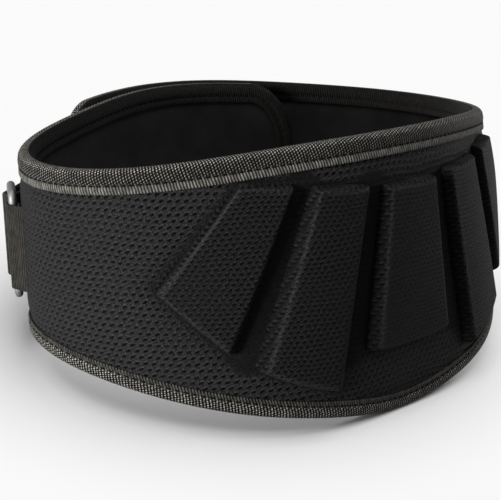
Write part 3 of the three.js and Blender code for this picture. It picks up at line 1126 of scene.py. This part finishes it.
@dataclass
class FaceLayer(ABC):
    """A layer between the tapes: an open face whose edges run in under the tape's lips.

    Wave k of its ripples is `wave_run` and `wave_rise` long, each a start plus k times a growth.
    """

    band: BandMap
    rim: RimPath
    finish: MeshCloth | PlainFinish
    tape_wall: float = 1.0
    layer_gap: float = 0.3
    lining_wall: float = 1.2
    field_ease: float = 7.0
    field_step: float = 2.5
    ramp_steps: int = 7
    tuck: float = 3.0
    sink: float = 0.2
    puff: float = 0.45
    fullness: float = 0.6
    ripple: float = 0.35
    waves: int = 4
    wave_run: tuple[float, float] = (17.0, 9.0)
    wave_rise: tuple[float, float] = (23.0, 6.0)
    seed: int = 7

    @abstractmethod
    def relief(self, spots: np.ndarray, climb: np.ndarray) -> np.ndarray:
        """Offsets out of the open face.

        Args:
            spots: Unrolled places as (columns, rows, 2).
            climb: Share of the way up the face for each row.

        Returns:
            Offsets as (columns, rows).
        """

    def window(self, climb: np.ndarray) -> np.ndarray:
        """Fullness up the face, 0 at both lips: sin(pi climb) to a power.

        Args:
            climb: Share of the way up.

        Returns:
            The fullness.
        """
        return np.sin(np.pi * climb) ** self.fullness

    def ripples(self, spots: np.ndarray) -> np.ndarray:
        """Sum over waves of sin(along / run + phase) sin(height / rise + phase), phases seeded.

        Args:
            spots: Unrolled places as (..., 2).

        Returns:
            The sum at each place.
        """
        draws = np.random.default_rng(self.seed)
        total = np.zeros(spots.shape[:-1])
        for wave in range(self.waves):
            phase = draws.uniform(0, 2 * np.pi, 2)
            length = np.array([a + b * wave for a, b in (self.wave_run, self.wave_rise)])
            total += np.prod(np.sin(spots / length + phase), axis=-1)
        return total

    def section(
        self, start: float, face: float, hidden: list[tuple[float, float]]
    ) -> tuple[np.ndarray, np.ndarray]:
        """The closed section at each column of the band.

        Args:
            start: Out of the layer where it comes from under a lip.
            face: Out of its open face.
            hidden: Rows of (inset from the band's edge, out) behind a lip.

        Returns:
            Unrolled places as (columns, rows, 2) and their outs as (columns, rows).
        """
        ramp = np.linspace(0.0, 1.0, self.ramp_steps)[::-1]
        from_lip = self.layer_gap + (self.field_ease - self.layer_gap) * ramp
        insets, behind = np.array(hidden).T
        outs = np.concatenate([start + (face - start) * ease(ramp), behind])
        rings = []
        for edge in Edge:
            path = self.rim.edge_path(edge)
            depth = np.concatenate([self.rim.lip(edge) + from_lip, insets])
            inward = self.rim.inward(path, edge)
            rings.append(path[:, None] + inward[:, None] * depth[None, :, None])
        top, low = rings
        count = int(self.band.back_height / self.field_step)
        climb = np.linspace(0.0, 1.0, count + 1)[1:-1]
        middle = low[:, :1] + (top[:, :1] - low[:, :1]) * climb[None, :, None]
        spots = np.concatenate([top, low[:, ::-1], middle], axis=1)
        edges = np.tile(np.concatenate([outs, outs[::-1]]), (len(top), 1))
        return spots, np.concatenate([edges, face + self.relief(middle, climb)], axis=1)

    def swept(
        self, spots: np.ndarray, outs: np.ndarray, painted_light: np.ndarray | None = None
    ) -> Surface:
        """The section swept along the band.

        Args:
            spots: Unrolled places as (columns, rows, 2).
            outs: Their outs.
            painted_light: Their painted highlight, above 0, and painted shade, below 0.

        Returns:
            The closed surface.
        """
        points = self.band.rest(self.band.place(spots[..., 0], spots[..., 1], outs))
        uv = np.concatenate([spots, spots[:, :1]], axis=1)
        return Surface(points, uv, wrap_columns=True, capped=True, painted_light=painted_light)


@dataclass
class PaddedBody(FaceLayer):
    """The body: mesh cloth over foam between the tapes, and its hidden edges and back."""

    fan_reach: float = 147.0
    shoulder: float = 2.6
    heel: float = 0.4
    toe: float = 1.4
    toe_rise: float = 0.8
    channel_dip: float = 1.5
    channel_run: float = 4.5
    # Reach of the compressed cloth with painted shade beside the pads, and of the narrow channels
    # between pads that get it too.
    pressed_run: float = 3.0
    pressed_start: float = 0.2
    channel_width: float = 16.0
    channel_fade: float = 4.0

    def relief(self, spots: np.ndarray, climb: np.ndarray) -> np.ndarray:
        """Foam fullness, soft ripples and the pressed channels round the pads.

        The window times (puff, plus half the ripple times the ripples, minus a dip of
        exp(-(distance from the pads over run) squared)).

        Args:
            spots: Unrolled places as (columns, rows, 2).
            climb: Share of the way up the face for each row.

        Returns:
            Outward offsets.
        """
        gap, _ = self.pad_gaps(spots)
        channel = self.channel_dip * np.exp(-((gap / self.channel_run) ** 2))
        return self.window(climb) * (self.puff + self.ripple / 2 * self.ripples(spots) - channel)

    def pad_gaps(self, spots: np.ndarray) -> np.ndarray:
        """Distances to the outlines of the nearest pad and of the next one.

        Args:
            spots: Unrolled places as (..., 2).

        Returns:
            Both distances in millimetres, nearest first.
        """
        shapes = [(shape, Side.LEFT) for shape in PAD_SHAPES]
        shapes += [(shape, Side.RIGHT) for shape in PAD_SHAPES[1:]]
        height = self.band.back_height
        gaps = [
            distance_outside(spots, shape.corners(self.fan_reach, height, side))
            for shape, side in shapes
        ]
        return np.sort(gaps, axis=0)[:2]

    def surface(self) -> Surface:
        """The body's section, with the cloth compressed beside the pads and between them, darkened
        there by painted shade.

        Returns:
            The surface.
        """
        edge = self.tape_wall + self.layer_gap
        back = -self.band.rim_thickness + edge + self.layer_gap + self.lining_wall
        hidden = [
            (edge + self.tuck, -edge),
            (edge + self.heel, -edge - self.shoulder),
            (edge + self.heel, back + self.toe_rise),
            (edge + self.toe, back),
        ]
        spots, outs = self.section(-edge, -self.sink, hidden)
        gap, next_gap = self.pad_gaps(spots)
        # Painted shade, with the holes closed: -1 at the pads and in narrow channels between them,
        # easing to 0 away from them.
        beside = ease(gap / self.pressed_run - self.pressed_start)
        between = ease((gap + next_gap - self.channel_width) / self.channel_fade)
        return self.swept(spots, outs, np.minimum(beside, between) - 1.0)

    def build(self) -> bpy.types.Object:
        """Makes the body.

        Returns:
            The object.
        """
        piece = MeshMaker.build("mesh_body", [self.surface()], self.finish.material())
        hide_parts("outer_panel")
        return piece


@dataclass
class SmoothLining(FaceLayer):
    """The lining: a smooth sheet inside the loop, its edges under the tape."""

    field_step: float = 5.0
    sink: float = 0.3
    puff: float = 0.7
    ripple: float = 0.5
    waves: int = 3
    wave_run: tuple[float, float] = (14.0, 8.0)
    wave_rise: tuple[float, float] = (19.0, 7.0)
    seed: int = 11
    back_tuck: float = 1.7
    cut_width: float = 122.0

    def relief(self, spots: np.ndarray, climb: np.ndarray) -> np.ndarray:
        """Fullness and soft ripples into the loop: minus the window times their sum.

        Args:
            spots: Unrolled places as (columns, rows, 2).
            climb: Share of the way up the face for each row.

        Returns:
            Outward offsets.
        """
        return -self.window(climb) * (self.puff + self.ripple / 2 * self.ripples(spots))

    def surface(self) -> Surface:
        """The lining's section.

        Returns:
            The surface.
        """
        edge = self.tape_wall + self.layer_gap
        inner = -self.band.rim_thickness + edge
        hidden = [(edge + self.tuck, inner), (edge + self.back_tuck, inner + self.lining_wall)]
        return self.swept(*self.section(inner, -self.band.rim_thickness + self.sink, hidden))

    def build(self) -> bpy.types.Object:
        """Makes the lining.

        Returns:
            The object.
        """
        piece = MeshMaker.build("smooth_lining", [self.surface()], self.finish.material())
        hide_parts("inner_lining")
        return piece


@dataclass
class EdgeBinding:
    """The tape folded over the whole edge, with a row of stitches on both faces."""

    band: BandMap
    rim: RimPath
    finish: RibbedCloth
    thread: PlainFinish
    wall: float = 1.0
    rounding: float = 3.5
    arc_steps: int = 6
    groove_share: float = 0.333
    groove_inset: float = 3.73
    groove_depth: float = 0.8
    stitch_pitch: float = 4.4
    stitch_length: float = 3.0
    stitch_width: float = 1.2

    def half_profile(self) -> np.ndarray:
        """One face of the tape from its lip to the start of the crown's rounding.

        Returns:
            Rows of (distance from the crown, share of the lip's depth, out).
        """
        groove, share = self.groove_inset, self.groove_share
        return np.array(
            [
                (0.0, 1.0, -self.wall),
                (0.0, 1.0, -0.45),
                (-0.3, 1.0, -0.08),
                (-0.9, 1.0, 0.1),
                (groove + 1.0, share, 0.0),
                (groove, share, -self.groove_depth),
                (groove - 1.0, share, 0.0),
                (groove - 1.9, share, 0.2),
                (self.rounding + 0.8, 0.0, 0.15),
            ]
        )

    def profile(self) -> np.ndarray:
        """The whole closed section, round the rim from lip to lip and back inside it.

        Returns:
            Rows of (distance from the crown, share of the lip's depth, out).
        """
        angle = np.linspace(0.0, np.pi / 2, self.arc_steps + 1)
        zero = np.zeros_like(angle)
        r, thick, wall = self.rounding, self.band.rim_thickness, self.wall
        outer_arc = np.stack([r - r * np.sin(angle), zero, -r + r * np.cos(angle)], axis=1)
        inner_arc = np.stack([r - r * np.cos(angle), zero, -thick + r - r * np.sin(angle)], axis=1)
        face = self.half_profile()
        back = face[::-1].copy()
        back[:, 2] = -thick - back[:, 2]
        inside = np.array(
            [
                (r + 0.4, 0.0, -thick + wall),
                (wall, 0.0, -thick + r + 0.3),
                (wall, 0.0, -r - 0.3),
                (r + 0.4, 0.0, -wall),
            ]
        )
        return np.concatenate([face, outer_arc, inner_arc, back, inside])

    def surface(self) -> Surface:
        """The section swept round the whole closed edge.

        Returns:
            The surface.
        """
        spots, inward, lip = self.rim.closed()
        rows = self.profile()
        inset = rows[None, :, 0] + rows[None, :, 1] * lip[:, None]
        flat = spots[:, None] + inward[:, None] * inset[..., None]
        outs = np.broadcast_to(rows[None, :, 2], inset.shape)
        points = self.band.rest(self.band.place(flat[..., 0], flat[..., 1], outs))
        round_rim = run_lengths(np.concatenate([spots, spots[:1]]))
        mean = np.stack([rows[:, 0] + rows[:, 1] * self.rim.top_lip, rows[:, 2]], axis=1)
        across = run_lengths(np.concatenate([mean, mean[:1]]))
        uv = np.stack(np.meshgrid(round_rim, across, indexing="ij"), axis=-1)
        return Surface(points, uv, wrap_rows=True, wrap_columns=True)

    def stitches(self, outside: bool) -> list[Surface]:
        """Small rounded stitches in the groove of one face.

        Args:
            outside: Whether they are on the outer face.

        Returns:
            One closed surface for each stitch.
        """
        spots, inward, lip = self.rim.closed()
        line = spots + inward * (self.groove_inset + self.groove_share * lip)[:, None]
        line = np.concatenate([line, line[:1]])
        lengths = run_lengths(line)
        count = int(lengths[-1] / self.stitch_pitch)
        middles = (np.arange(count) + 0.5) * lengths[-1] / count
        station = np.linspace(-1.0, 1.0, 5)
        runs = middles[:, None] + station[None, :] * self.stitch_length / 2
        along = np.interp(runs, lengths, line[:, 0])
        height = np.interp(runs, lengths, line[:, 1])
        lift = self.stitch_width * 0.2 - self.groove_depth
        out = lift if outside else -self.band.rim_thickness - lift
        middle = self.band.place(along, height, np.full_like(along, out))
        beyond = self.band.place(along, height, np.full_like(along, out + 1.0))
        up = beyond - middle
        run = np.gradient(middle, axis=1)
        run /= np.linalg.norm(run, axis=-1, keepdims=True)
        aside = np.cross(run, up)
        swell = np.sqrt(np.clip(1.02 - station**4, 0.0, None))[None, :, None, None]
        swell = swell * self.stitch_width / 2
        angle = np.linspace(0.0, 2 * np.pi, 7)[:-1]
        ring = (
            up[:, :, None] * np.sin(angle)[None, None, :, None]
            + aside[:, :, None] * np.cos(angle)[None, None, :, None]
        )
        points = self.band.rest(middle[:, :, None] + ring * swell)
        uv = np.zeros((len(station), len(angle) + 1, 2))
        return [Surface(p, uv, wrap_columns=True, capped=True) for p in points]

    def build(self) -> list[bpy.types.Object]:
        """Makes the tape and its stitches.

        Returns:
            Both objects.
        """
        tape = MeshMaker.build("ribbed_binding", [self.surface()], self.finish.material())
        threads = MeshMaker.build(
            "binding_stitches", self.stitches(True) + self.stitches(False), self.thread.material()
        )
        length = run_lengths(self.rim.closed()[0])[-1] * MM
        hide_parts("edge_binding")
        return [tape, threads]


@dataclass
class BackPads:
    """The five raised pads of the back: bevelled foam under mesh cloth."""

    band: BandMap
    finish: MeshCloth
    fan_reach: float = 147.0
    rise: float = 5.6
    end_bevel: float = 2.6
    edge: float = 1.2
    base: float = 0.2
    corner: float = 3.0
    dome: float = 0.5
    step: float = 2.0
    rim_lines: tuple[float, ...] = (0.0, 0.25, 0.6, 1.1, 1.7, 2.4, 3.2, 4.1, 5.0, 6.2, 7.8)
    bury: float = 0.5
    # Painted highlight along the bevels' ridges: its width, and its strength on the top and bottom
    # bevels, the left bevels taking 1 and the right ones 0; then the painted shade over the bevels.
    ridge_run: float = 1.15
    level_ridge: float = 0.6
    bevel_shade: float = 0.85

    def lines(self, span: float) -> np.ndarray:
        """Grid lines across a span, closer together over the bevels.

        Args:
            span: Length of the span.

        Returns:
            Positions from 0 to the span.
        """
        rim, reach = np.array(self.rim_lines[:-1]), self.rim_lines[-1]
        middle = np.linspace(reach, span - reach, int((span - 2 * reach) / self.step) + 1)
        return np.concatenate([rim, middle, (span - rim)[::-1]])

    def surface(self, shape: PadShape, side: Side) -> Surface:
        """A four-sided slab on the band's face, rounded at its corners and bevelled.

        A corner's square rings become round ones: each offset from the corner's centre keeps its
        longer side as its length.

        Args:
            shape: The pad.
            side: Which side it lies on.

        Returns:
            The closed surface: each row runs over the face and back under the foot.
        """
        corners = shape.corners(self.fan_reach, self.band.back_height, side)
        top_a, top_b, low_b, low_a = corners
        wide = (np.linalg.norm(top_b - top_a) + np.linalg.norm(low_b - low_a)) / 2
        tall = (np.linalg.norm(low_a - top_a) + np.linalg.norm(low_b - top_b)) / 2
        x, y = np.meshgrid(self.lines(wide), self.lines(tall))
        bevel = shape.bevel
        steep = bevel / self.end_bevel
        inset = np.minimum(np.minimum(x, wide - x), steep * np.minimum(y, tall - y))
        from_x = np.abs(x - wide / 2) - (wide / 2 - self.corner)
        from_y = np.abs(y - tall / 2) - (tall / 2 - self.corner)
        held_x, held_y = np.clip(from_x, 0.0, None), np.clip(from_y, 0.0, None)
        size = np.hypot(held_x, held_y)
        scale = np.where(size > 0, np.maximum(held_x, held_y) / np.where(size > 0, size, 1.0), 1.0)
        x = wide / 2 + np.sign(x - wide / 2) * (np.abs(x - wide / 2) - held_x + held_x * scale)
        y = tall / 2 + np.sign(y - tall / 2) * (np.abs(y - tall / 2) - held_y + held_y * scale)
        u, v = (x / wide)[..., None], (y / tall)[..., None]
        upper = top_a + (top_b - top_a) * u
        lower = low_a + (low_b - low_a) * u
        spots = upper + (lower - upper) * v
        spots[..., 1] -= shape.sag * 4 * (u * (1 - u) * v)[..., 0]
        slope = np.clip(inset / bevel, 0.0, 1.0)
        lift = self.edge + (self.rise - self.edge) * np.sin(np.pi / 2 * slope) ** 0.85
        lift = lift * ease(inset / 0.3 + 0.15)
        crown = self.dome * np.sin(np.pi * u[..., 0]) * np.sin(np.pi * v[..., 0])
        along, height, foot_out = spots[..., 0], spots[..., 1], self.base - self.bury
        face = self.band.place(along, height, foot_out + lift + self.bury * slope + crown)
        foot = self.band.place(along, height, np.full_like(lift, foot_out))
        points = self.band.rest(np.concatenate([face, foot[:, ::-1]], axis=1))
        # Painted light: a painted highlight along the bevels' ridges and painted shade over the
        # bevels, both strongest on the left bevels.
        left = x > wide / 2 if side is Side.LEFT else x < wide / 2
        beside = np.minimum(x, wide - x) < steep * np.minimum(y, tall - y)
        weight = np.where(beside, left, self.level_ridge)
        from_ridge = (inset - bevel) / np.where(beside, 1.0, steep)
        ridge = weight * np.exp(-((from_ridge / self.ridge_run) ** 2))
        shade = self.bevel_shade * (1.0 - ease((inset - 0.5 * bevel) / (0.4 * bevel)))
        painted_light = ridge - shade * np.where(beside & left, 1.0, 0.5)
        uv = np.concatenate([spots, spots[:, ::-1], spots[:, :1]], axis=1)
        painted_light = np.concatenate([painted_light, painted_light[:, ::-1]], axis=1)
        return Surface(points, uv, wrap_columns=True, capped=True, painted_light=painted_light)

    def build(self) -> list[bpy.types.Object]:
        """Makes the pads.

        Returns:
            The five objects.
        """
        material = self.finish.material()
        made = []
        for shape in PAD_SHAPES:
            for side in [Side.LEFT] if shape.name == "centre" else list(Side):
                sided = f"pad_{side.name.lower()}_{shape.name}"
                node = "pad_centre" if shape.name == "centre" else sided
                piece = MeshMaker.build(f"{node}_mesh", [self.surface(shape, side)], material)
                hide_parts(node)
                made.append(piece)
        return made


@dataclass
class LoopPlan:
    """Axes of the steel loop, and flat places in its plan."""

    band: BandMap
    before_end: float = 84.6
    middle: float = 88.8
    stand_off: float = 4.2
    width: float = 30.0
    height: float = 62.0
    wire: float = 4.6
    corner: float = 4.5
    web_middle: float = 88.6
    web_width: float = 48.0
    wire_gap: float = 0.3
    run: float = field(init=False)
    origin: np.ndarray = field(init=False)
    forward: np.ndarray = field(init=False)
    up: np.ndarray = field(init=False)
    out: np.ndarray = field(init=False)

    def __post_init__(self) -> None:
        """Sets the loop beside the band: forward along it, up with its lean, out of it."""
        end = float(self.band.turn_at(np.array(-self.band.right_length)))
        self.run = self.band.run_at(end + 2 * math.pi) - self.before_end
        turn = self.band.turn_at(np.array(self.run))
        _, normal, along = self.band.plan(turn)
        lean = float(self.band.at("lean", turn))
        self.forward = np.array([along[0], along[1], 0.0])
        up = np.array([normal[0] * lean, normal[1] * lean, 1.0])
        self.up = up / np.linalg.norm(up)
        out = np.cross(self.forward, self.up)
        out /= np.linalg.norm(out)
        self.out = out if out[:2] @ normal > 0 else -out
        self.origin = self.band.place(self.run, self.middle, self.stand_off)

    @property
    def spacing(self) -> float:
        """Distance between the middles of the back and the front bar."""
        return self.width - self.wire

    def beside(self, runs: np.ndarray, out: float) -> np.ndarray:
        """Flat places along the band at the webbing's height.

        Args:
            runs: Runs along the band.
            out: Distance out of its face.

        Returns:
            Places as (count, 2): forward and out.
        """
        offset = self.band.place(runs, self.web_middle, out) - self.origin
        offset = offset - self.up * (offset[:, 2:] / self.up[2])
        return np.stack([offset @ self.forward, offset @ self.out], axis=1)

    def space(self, forward: np.ndarray, out: np.ndarray, up: np.ndarray) -> np.ndarray:
        """Points in the frame from the loop's own three lengths.

        Args:
            forward: Lengths along the band.
            out: Lengths out of it.
            up: Lengths up.

        Returns:
            Points in metres.
        """
        lengths = np.stack(np.broadcast_arrays(forward, out, up), axis=-1)
        return self.band.rest(self.origin + lengths @ np.stack([self.forward, self.out, self.up]))

    def round_bar(
        self, centre: np.ndarray, radius: float, start: float, sweep: float
    ) -> np.ndarray:
        """An arc round a bar.

        Args:
            centre: The bar's middle in the plan.
            radius: Radius of the arc.
            start: Its first angle in degrees.
            sweep: Its sweep in degrees.

        Returns:
            Places as (count, 2).
        """
        angle = np.radians(np.linspace(start, start + sweep, 37))
        return centre + radius * np.stack([np.cos(angle), np.sin(angle)], axis=1)


@dataclass
class SteelLoop:
    """A round wire bent into a rectangle with rounded corners."""

    plan: LoopPlan
    finish: PlainFinish
    sides: int = 20
    arc_steps: int = 10
    straight_steps: int = 6

    def surface(self) -> Surface:
        """A circle swept round the rectangle.

        Returns:
            The surface.
        """
        p = self.plan
        tall = (p.height - p.wire) / 2
        path, aside = [], []
        quarter = [(p.spacing - p.corner, tall - p.corner), (p.corner, tall - p.corner)]
        quarter += [(p.corner, p.corner - tall), (p.spacing - p.corner, p.corner - tall)]
        for turn, (forward, up) in enumerate(quarter):
            angle = np.radians(90.0 * turn) + np.linspace(0.0, np.pi / 2, self.arc_steps + 1)
            normal = np.stack([np.cos(angle), np.sin(angle)], axis=1)
            path.append(np.array([forward, up]) + p.corner * normal)
            aside.append(normal)
        line, normals = np.concatenate(path), np.concatenate(aside)
        angle = np.linspace(0.0, 2 * np.pi, self.sides + 1)[:-1]
        reach = p.wire / 2 * np.cos(angle)[None, :]
        forward = line[:, :1] + normals[:, :1] * reach
        up = line[:, 1:] + normals[:, 1:] * reach
        out = np.broadcast_to(p.wire / 2 * np.sin(angle)[None, :], forward.shape)
        uv = np.zeros((len(line) + 1, self.sides + 1, 2))
        uv[..., 0] = run_lengths(np.concatenate([line, line[:1]]))[:, None]
        uv[..., 1] = np.linspace(0.0, np.pi * p.wire, self.sides + 1)[None, :]
        return Surface(p.space(forward, out, up), uv, wrap_rows=True, wrap_columns=True)

    def build(self) -> bpy.types.Object:
        """Makes the steel loop.

        Returns:
            The object.
        """
        piece = MeshMaker.build("steel_loop", [self.surface()], self.finish.material())
        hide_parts("buckle_loop")
        return piece


@dataclass
class Webbing:
    """A band of webbing that stands upright along a path in the loop's plan."""

    plan: LoopPlan
    path: np.ndarray
    thickness: float
    step: float = 1.2
    face_steps: int = 10
    edge_steps: int = 4

    def section(self) -> np.ndarray:
        """A flat bar with rounded edges: two straight faces and two half circles.

        Returns:
            Rows of (out of the middle, up).
        """
        r, half = self.thickness / 2, self.plan.web_width / 2 - self.thickness / 2
        angle = np.linspace(0.0, np.pi, self.edge_steps + 1)
        climb = np.linspace(-half, half, self.face_steps + 1)
        right = np.stack([np.full_like(climb, r), climb], axis=1)
        top = np.stack([r * np.cos(angle), half + r * np.sin(angle)], axis=1)[1:-1]
        low = np.stack([-r * np.cos(angle), -half - r * np.sin(angle)], axis=1)[1:-1]
        left = np.stack([np.full_like(climb, -r), climb[::-1]], axis=1)
        return np.concatenate([right, top, left, low])

    def surface(self) -> Surface:
        """The section swept along the path.

        Returns:
            The surface.
        """
        line = resampled(self.path, self.step)
        run = np.gradient(line, axis=0)
        run /= np.linalg.norm(run, axis=1, keepdims=True)
        aside = np.stack([-run[:, 1], run[:, 0]], axis=1)
        rows = self.section()
        lift = (self.plan.web_middle - self.plan.middle) / self.plan.up[2]
        forward = line[:, :1] + aside[:, :1] * rows[None, :, 0]
        out = line[:, 1:] + aside[:, 1:] * rows[None, :, 0]
        up = np.broadcast_to(rows[None, :, 1] + lift, forward.shape)
        across = run_lengths(np.concatenate([rows, rows[:1]]))
        uv = np.stack(np.meshgrid(run_lengths(line), across, indexing="ij"), axis=-1)
        return Surface(self.plan.space(forward, out, up), uv, wrap_columns=True, capped=True)

    def flat(self) -> tuple[float, float]:
        """Its cut size: width and the length of its path.

        Returns:
            Width and length in metres.
        """
        return self.plan.web_width * MM, float(run_lengths(self.path)[-1]) * MM


@dataclass
class LoopTab:
    """The webbing tab, tucked under the mesh of the body and folded round the back bar."""

    plan: LoopPlan
    finish: RibbedCloth
    thickness: float = 1.2
    sewn_run: float = 12.0
    tucked: float = -1.4
    fold_start: float = -95.0
    fold_sweep: float = 215.0
    strap_gap: float = 0.9
    sink: float = 0.2
    layer_gap: float = 0.3

    def build(self) -> bpy.types.Object:
        """Makes the tab.

        Returns:
            The object.
        """
        p = self.plan
        radius = p.wire / 2 + p.wire_gap + self.thickness / 2
        first = self.thickness / 2 + self.strap_gap - self.sink
        second = first + self.thickness + self.layer_gap
        sewn = p.run - self.sewn_run
        share = np.linspace(0.0, 1.0, 7)
        runs = sewn + self.sewn_run / 2 * share
        under, over = (self.tucked + (out - self.tucked) * ease(share) for out in (first, second))
        path = np.concatenate(
            [
                np.concatenate([p.beside(r, o) for r, o in zip(runs[:, None], under)]),
                p.round_bar(np.zeros(2), radius, self.fold_start, self.fold_sweep),
                np.concatenate([p.beside(r, o) for r, o in zip(runs[::-1, None], over[::-1])]),
            ]
        )
        band = Webbing(p, path, self.thickness)
        piece = MeshMaker.build("webbing_tab", [band.surface()], self.finish.material())
        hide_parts("loop_tab")
        return piece


@dataclass
class ClosureStrap:
    """The strap: off the right end, round the front bar and doubled back."""

    plan: LoopPlan
    finish: RibbedCloth
    thickness: float = 2.4
    sewn_run: float = 62.0
    lap: float = 44.0
    gap: float = 0.9

    def build(self) -> bpy.types.Object:
        """Makes the strap.

        Returns:
            The object.
        """
        p = self.plan
        radius = p.wire / 2 + p.wire_gap + self.thickness / 2
        first = self.thickness / 2 + self.gap
        second = first + self.thickness + self.gap
        start = 1.0 - p.band.right_length
        under = p.beside(start + np.linspace(self.sewn_run, 0.0, 6), first)
        over = p.beside(start + np.linspace(0.0, self.lap, 6), second)
        bar = np.array([p.spacing, 0.0])
        away = math.degrees(math.atan2(*(under[-1] - bar)[::-1])) % 360.0
        fold = p.round_bar(bar, radius, away - 90.0, -180.0)
        band = Webbing(p, np.concatenate([under, fold, over]), self.thickness)
        piece = MeshMaker.build("closure_strap_webbing", [band.surface()], self.finish.material())
        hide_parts("closure_strap")
        return piece


@dataclass
class Studio:
    """Pale floor, soft lights and the camera of the photograph."""

    band: BandMap
    azimuth: float = -41.2731
    elevation: float = 16.8437
    distance: float = 727.65
    aim_height: float = 75.0
    aim_right: float = -20.3312
    aim_up: float = -7.178
    lens: float = 87.763
    sensor: float = 36.0
    floor_half: float = 14.0
    floor_colour: Colour = (0.9, 0.9, 0.9, 1.0)
    world_strength: float = 0.2
    sky_strength: float = 2.75
    sky_spread: float = 70.0

    def camera(self) -> bpy.types.Object:
        """A camera that looks at the band from the fitted angle, leaned with the band.

        Returns:
            The camera.
        """
        az, el = math.radians(self.azimuth), math.radians(self.elevation)
        back = np.array([math.sin(az) * math.cos(el), -math.cos(az) * math.cos(el), math.sin(el)])
        right = np.array([math.cos(az), math.sin(az), 0.0])
        up = np.cross(back, right)
        aim = np.array([0.0, 0.0, self.aim_height]) + right * self.aim_right + up * self.aim_up
        spot = self.band.rest(aim + back * self.distance)
        axes = self.band.rest_turn() @ np.stack([right, up, back], axis=1)
        data = bpy.data.cameras.new("photo_camera")
        data.lens, data.sensor_width = self.lens, self.sensor
        data.clip_start, data.clip_end = 0.01, 50.0
        camera = bpy.data.objects.new("photo_camera", data)
        turn = Matrix([list(row) for row in axes]).to_4x4()
        camera.matrix_world = Matrix.Translation(Vector(spot)) @ turn
        bpy.context.scene.collection.objects.link(camera)
        bpy.context.scene.camera = camera
        return camera

    def floor(self) -> bpy.types.Object:
        """A large pale floor.

        Returns:
            The floor.
        """
        s = self.floor_half
        mesh = bpy.data.meshes.new("floor")
        mesh.from_pydata([(-s, -s, 0), (s, -s, 0), (s, s, 0), (-s, s, 0)], [], [(0, 1, 2, 3)])
        paper = PlainFinish("floor_paper", self.floor_colour, 0.9, grain_depth=0.0)
        mesh.materials.append(paper.material())
        plane = bpy.data.objects.new("floor", mesh)
        bpy.context.scene.collection.objects.link(plane)
        plane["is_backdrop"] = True
        return plane

    def sky(self, floor: bpy.types.Object) -> None:
        """An even soft light straight down on the floor alone.

        Args:
            floor: The floor.
        """
        data = bpy.data.lights.new("floor_sky", "SUN")
        data.energy, data.angle = self.sky_strength, math.radians(self.sky_spread)
        lamp = bpy.data.objects.new("floor_sky", data)
        bpy.context.scene.collection.objects.link(lamp)
        self.link(lamp, [floor])

    def link(self, lamp: bpy.types.Object, pieces: list[bpy.types.Object]) -> None:
        """Lets a lamp light only some pieces.

        Args:
            lamp: The lamp.
            pieces: The pieces that it lights.
        """
        lit = bpy.data.collections.new(f"lit_by_{lamp.name}")
        for piece in pieces:
            lit.objects.link(piece)
        lamp.light_linking.receiver_collection = lit

    def light(
        self,
        name: str,
        place: tuple[float, float, float],
        size: float,
        power: float,
        pieces: list[bpy.types.Object],
    ) -> None:
        """A square soft light that faces the belt.

        Args:
            name: Its name.
            place: Its place in metres.
            size: Its side in metres.
            power: Its power in watts.
            pieces: The pieces that it lights.
        """
        data = bpy.data.lights.new(name, "AREA")
        data.size, data.energy = size, power
        lamp = bpy.data.objects.new(name, data)
        lamp.location = place
        facing = Vector((0.0, 0.0, 0.08)) - Vector(place)
        lamp.rotation_euler = facing.to_track_quat("-Z", "Y").to_euler()
        bpy.context.scene.collection.objects.link(lamp)
        self.link(lamp, pieces)

    def build(self) -> None:
        """Sets floor, world, lights and camera."""
        floor = self.floor()
        world = bpy.data.worlds.new("studio")
        world.use_nodes = True
        ground = world.node_tree.nodes["Background"]
        ground.inputs["Color"].default_value = (1.0, 1.0, 1.0, 1.0)
        ground.inputs["Strength"].default_value = self.world_strength
        bpy.context.scene.world = world
        belt = [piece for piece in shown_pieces() if piece is not floor]
        outside = [piece for piece in belt if piece.name != "smooth_lining"]
        self.light("top_soft", (-0.3, 0.2, 2.4), 2.4, 70.0, belt)
        self.light("key_left", (-2.3, -0.05, 0.5), 0.7, 190.0, outside)
        self.light("fill_right", (1.8, -0.3, 0.5), 0.8, 24.0, outside)
        self.sky(floor)
        bpy.context.scene.view_settings.view_transform = "Standard"
        self.camera()


def main() -> None:
    """Builds the belt's pieces in order, then the studio."""
    logging.basicConfig(level=logging.INFO)
    band = BandMap()
    rim = RimPath(band)
    plan = LoopPlan(band)
    patch = (plan.run - 26.0, plan.middle + 22.0)
    mesh = MeshCloth("body_mesh", (0.0064, 0.0064, 0.0065, 1.0), plain_patch=patch)
    pad_mesh = MeshCloth(
        "pad_mesh",
        (0.004, 0.004, 0.0041, 1.0),
        pitch=(3.6, 5.0),
        hole=(1.05, 0.5),
        # Holes stay open under the painted shade, which is stronger on the pads' bevels.
        closed=0.0,
        painted_shade_share=0.75,
    )
    # Tape ribs: a painted highlight on their tops, painted shade between them.
    tape = RibbedCloth(
        "grosgrain",
        (0.2, 0.19, 0.17, 1.0),
        (0.0008, 0.0007, 0.0006, 1.0),
        zones=TapeZones(low_span=rim.low_span()),
    )
    # Webbing ribs: a painted highlight on their tops, painted shade between them.
    webbing = RibbedCloth(
        "webbing",
        (0.027, 0.025, 0.021, 1.0),
        (0.003, 0.0027, 0.0023, 1.0),
        pitch=1.3,
        slant=0.0,
        weft_share=0.35,
        depth=0.0003,
    )
    thread = PlainFinish("thread", (0.002, 0.002, 0.002, 1.0), 0.7, grain_depth=0.0)
    lining = PlainFinish(
        "brushed_lining", (0.013, 0.013, 0.0131, 1.0), 0.95, sheen=0.02, mottle=0.22
    )
    steel = PlainFinish(
        "satin_steel",
        (0.15, 0.15, 0.15, 1.0),
        0.62,
        grain_noise=900.0,
        grain_depth=0.00002,
        metallic=1.0,
    )
    PaddedBody(band, rim, mesh).build()
    SmoothLining(band, rim, lining).build()
    EdgeBinding(band, rim, tape, thread).build()
    BackPads(band, pad_mesh).build()
    SteelLoop(plan, steel).build()
    LoopTab(plan, webbing).build()
    ClosureStrap(plan, webbing).build()
    Studio(band).build()


if __name__ == "__main__":
    main()
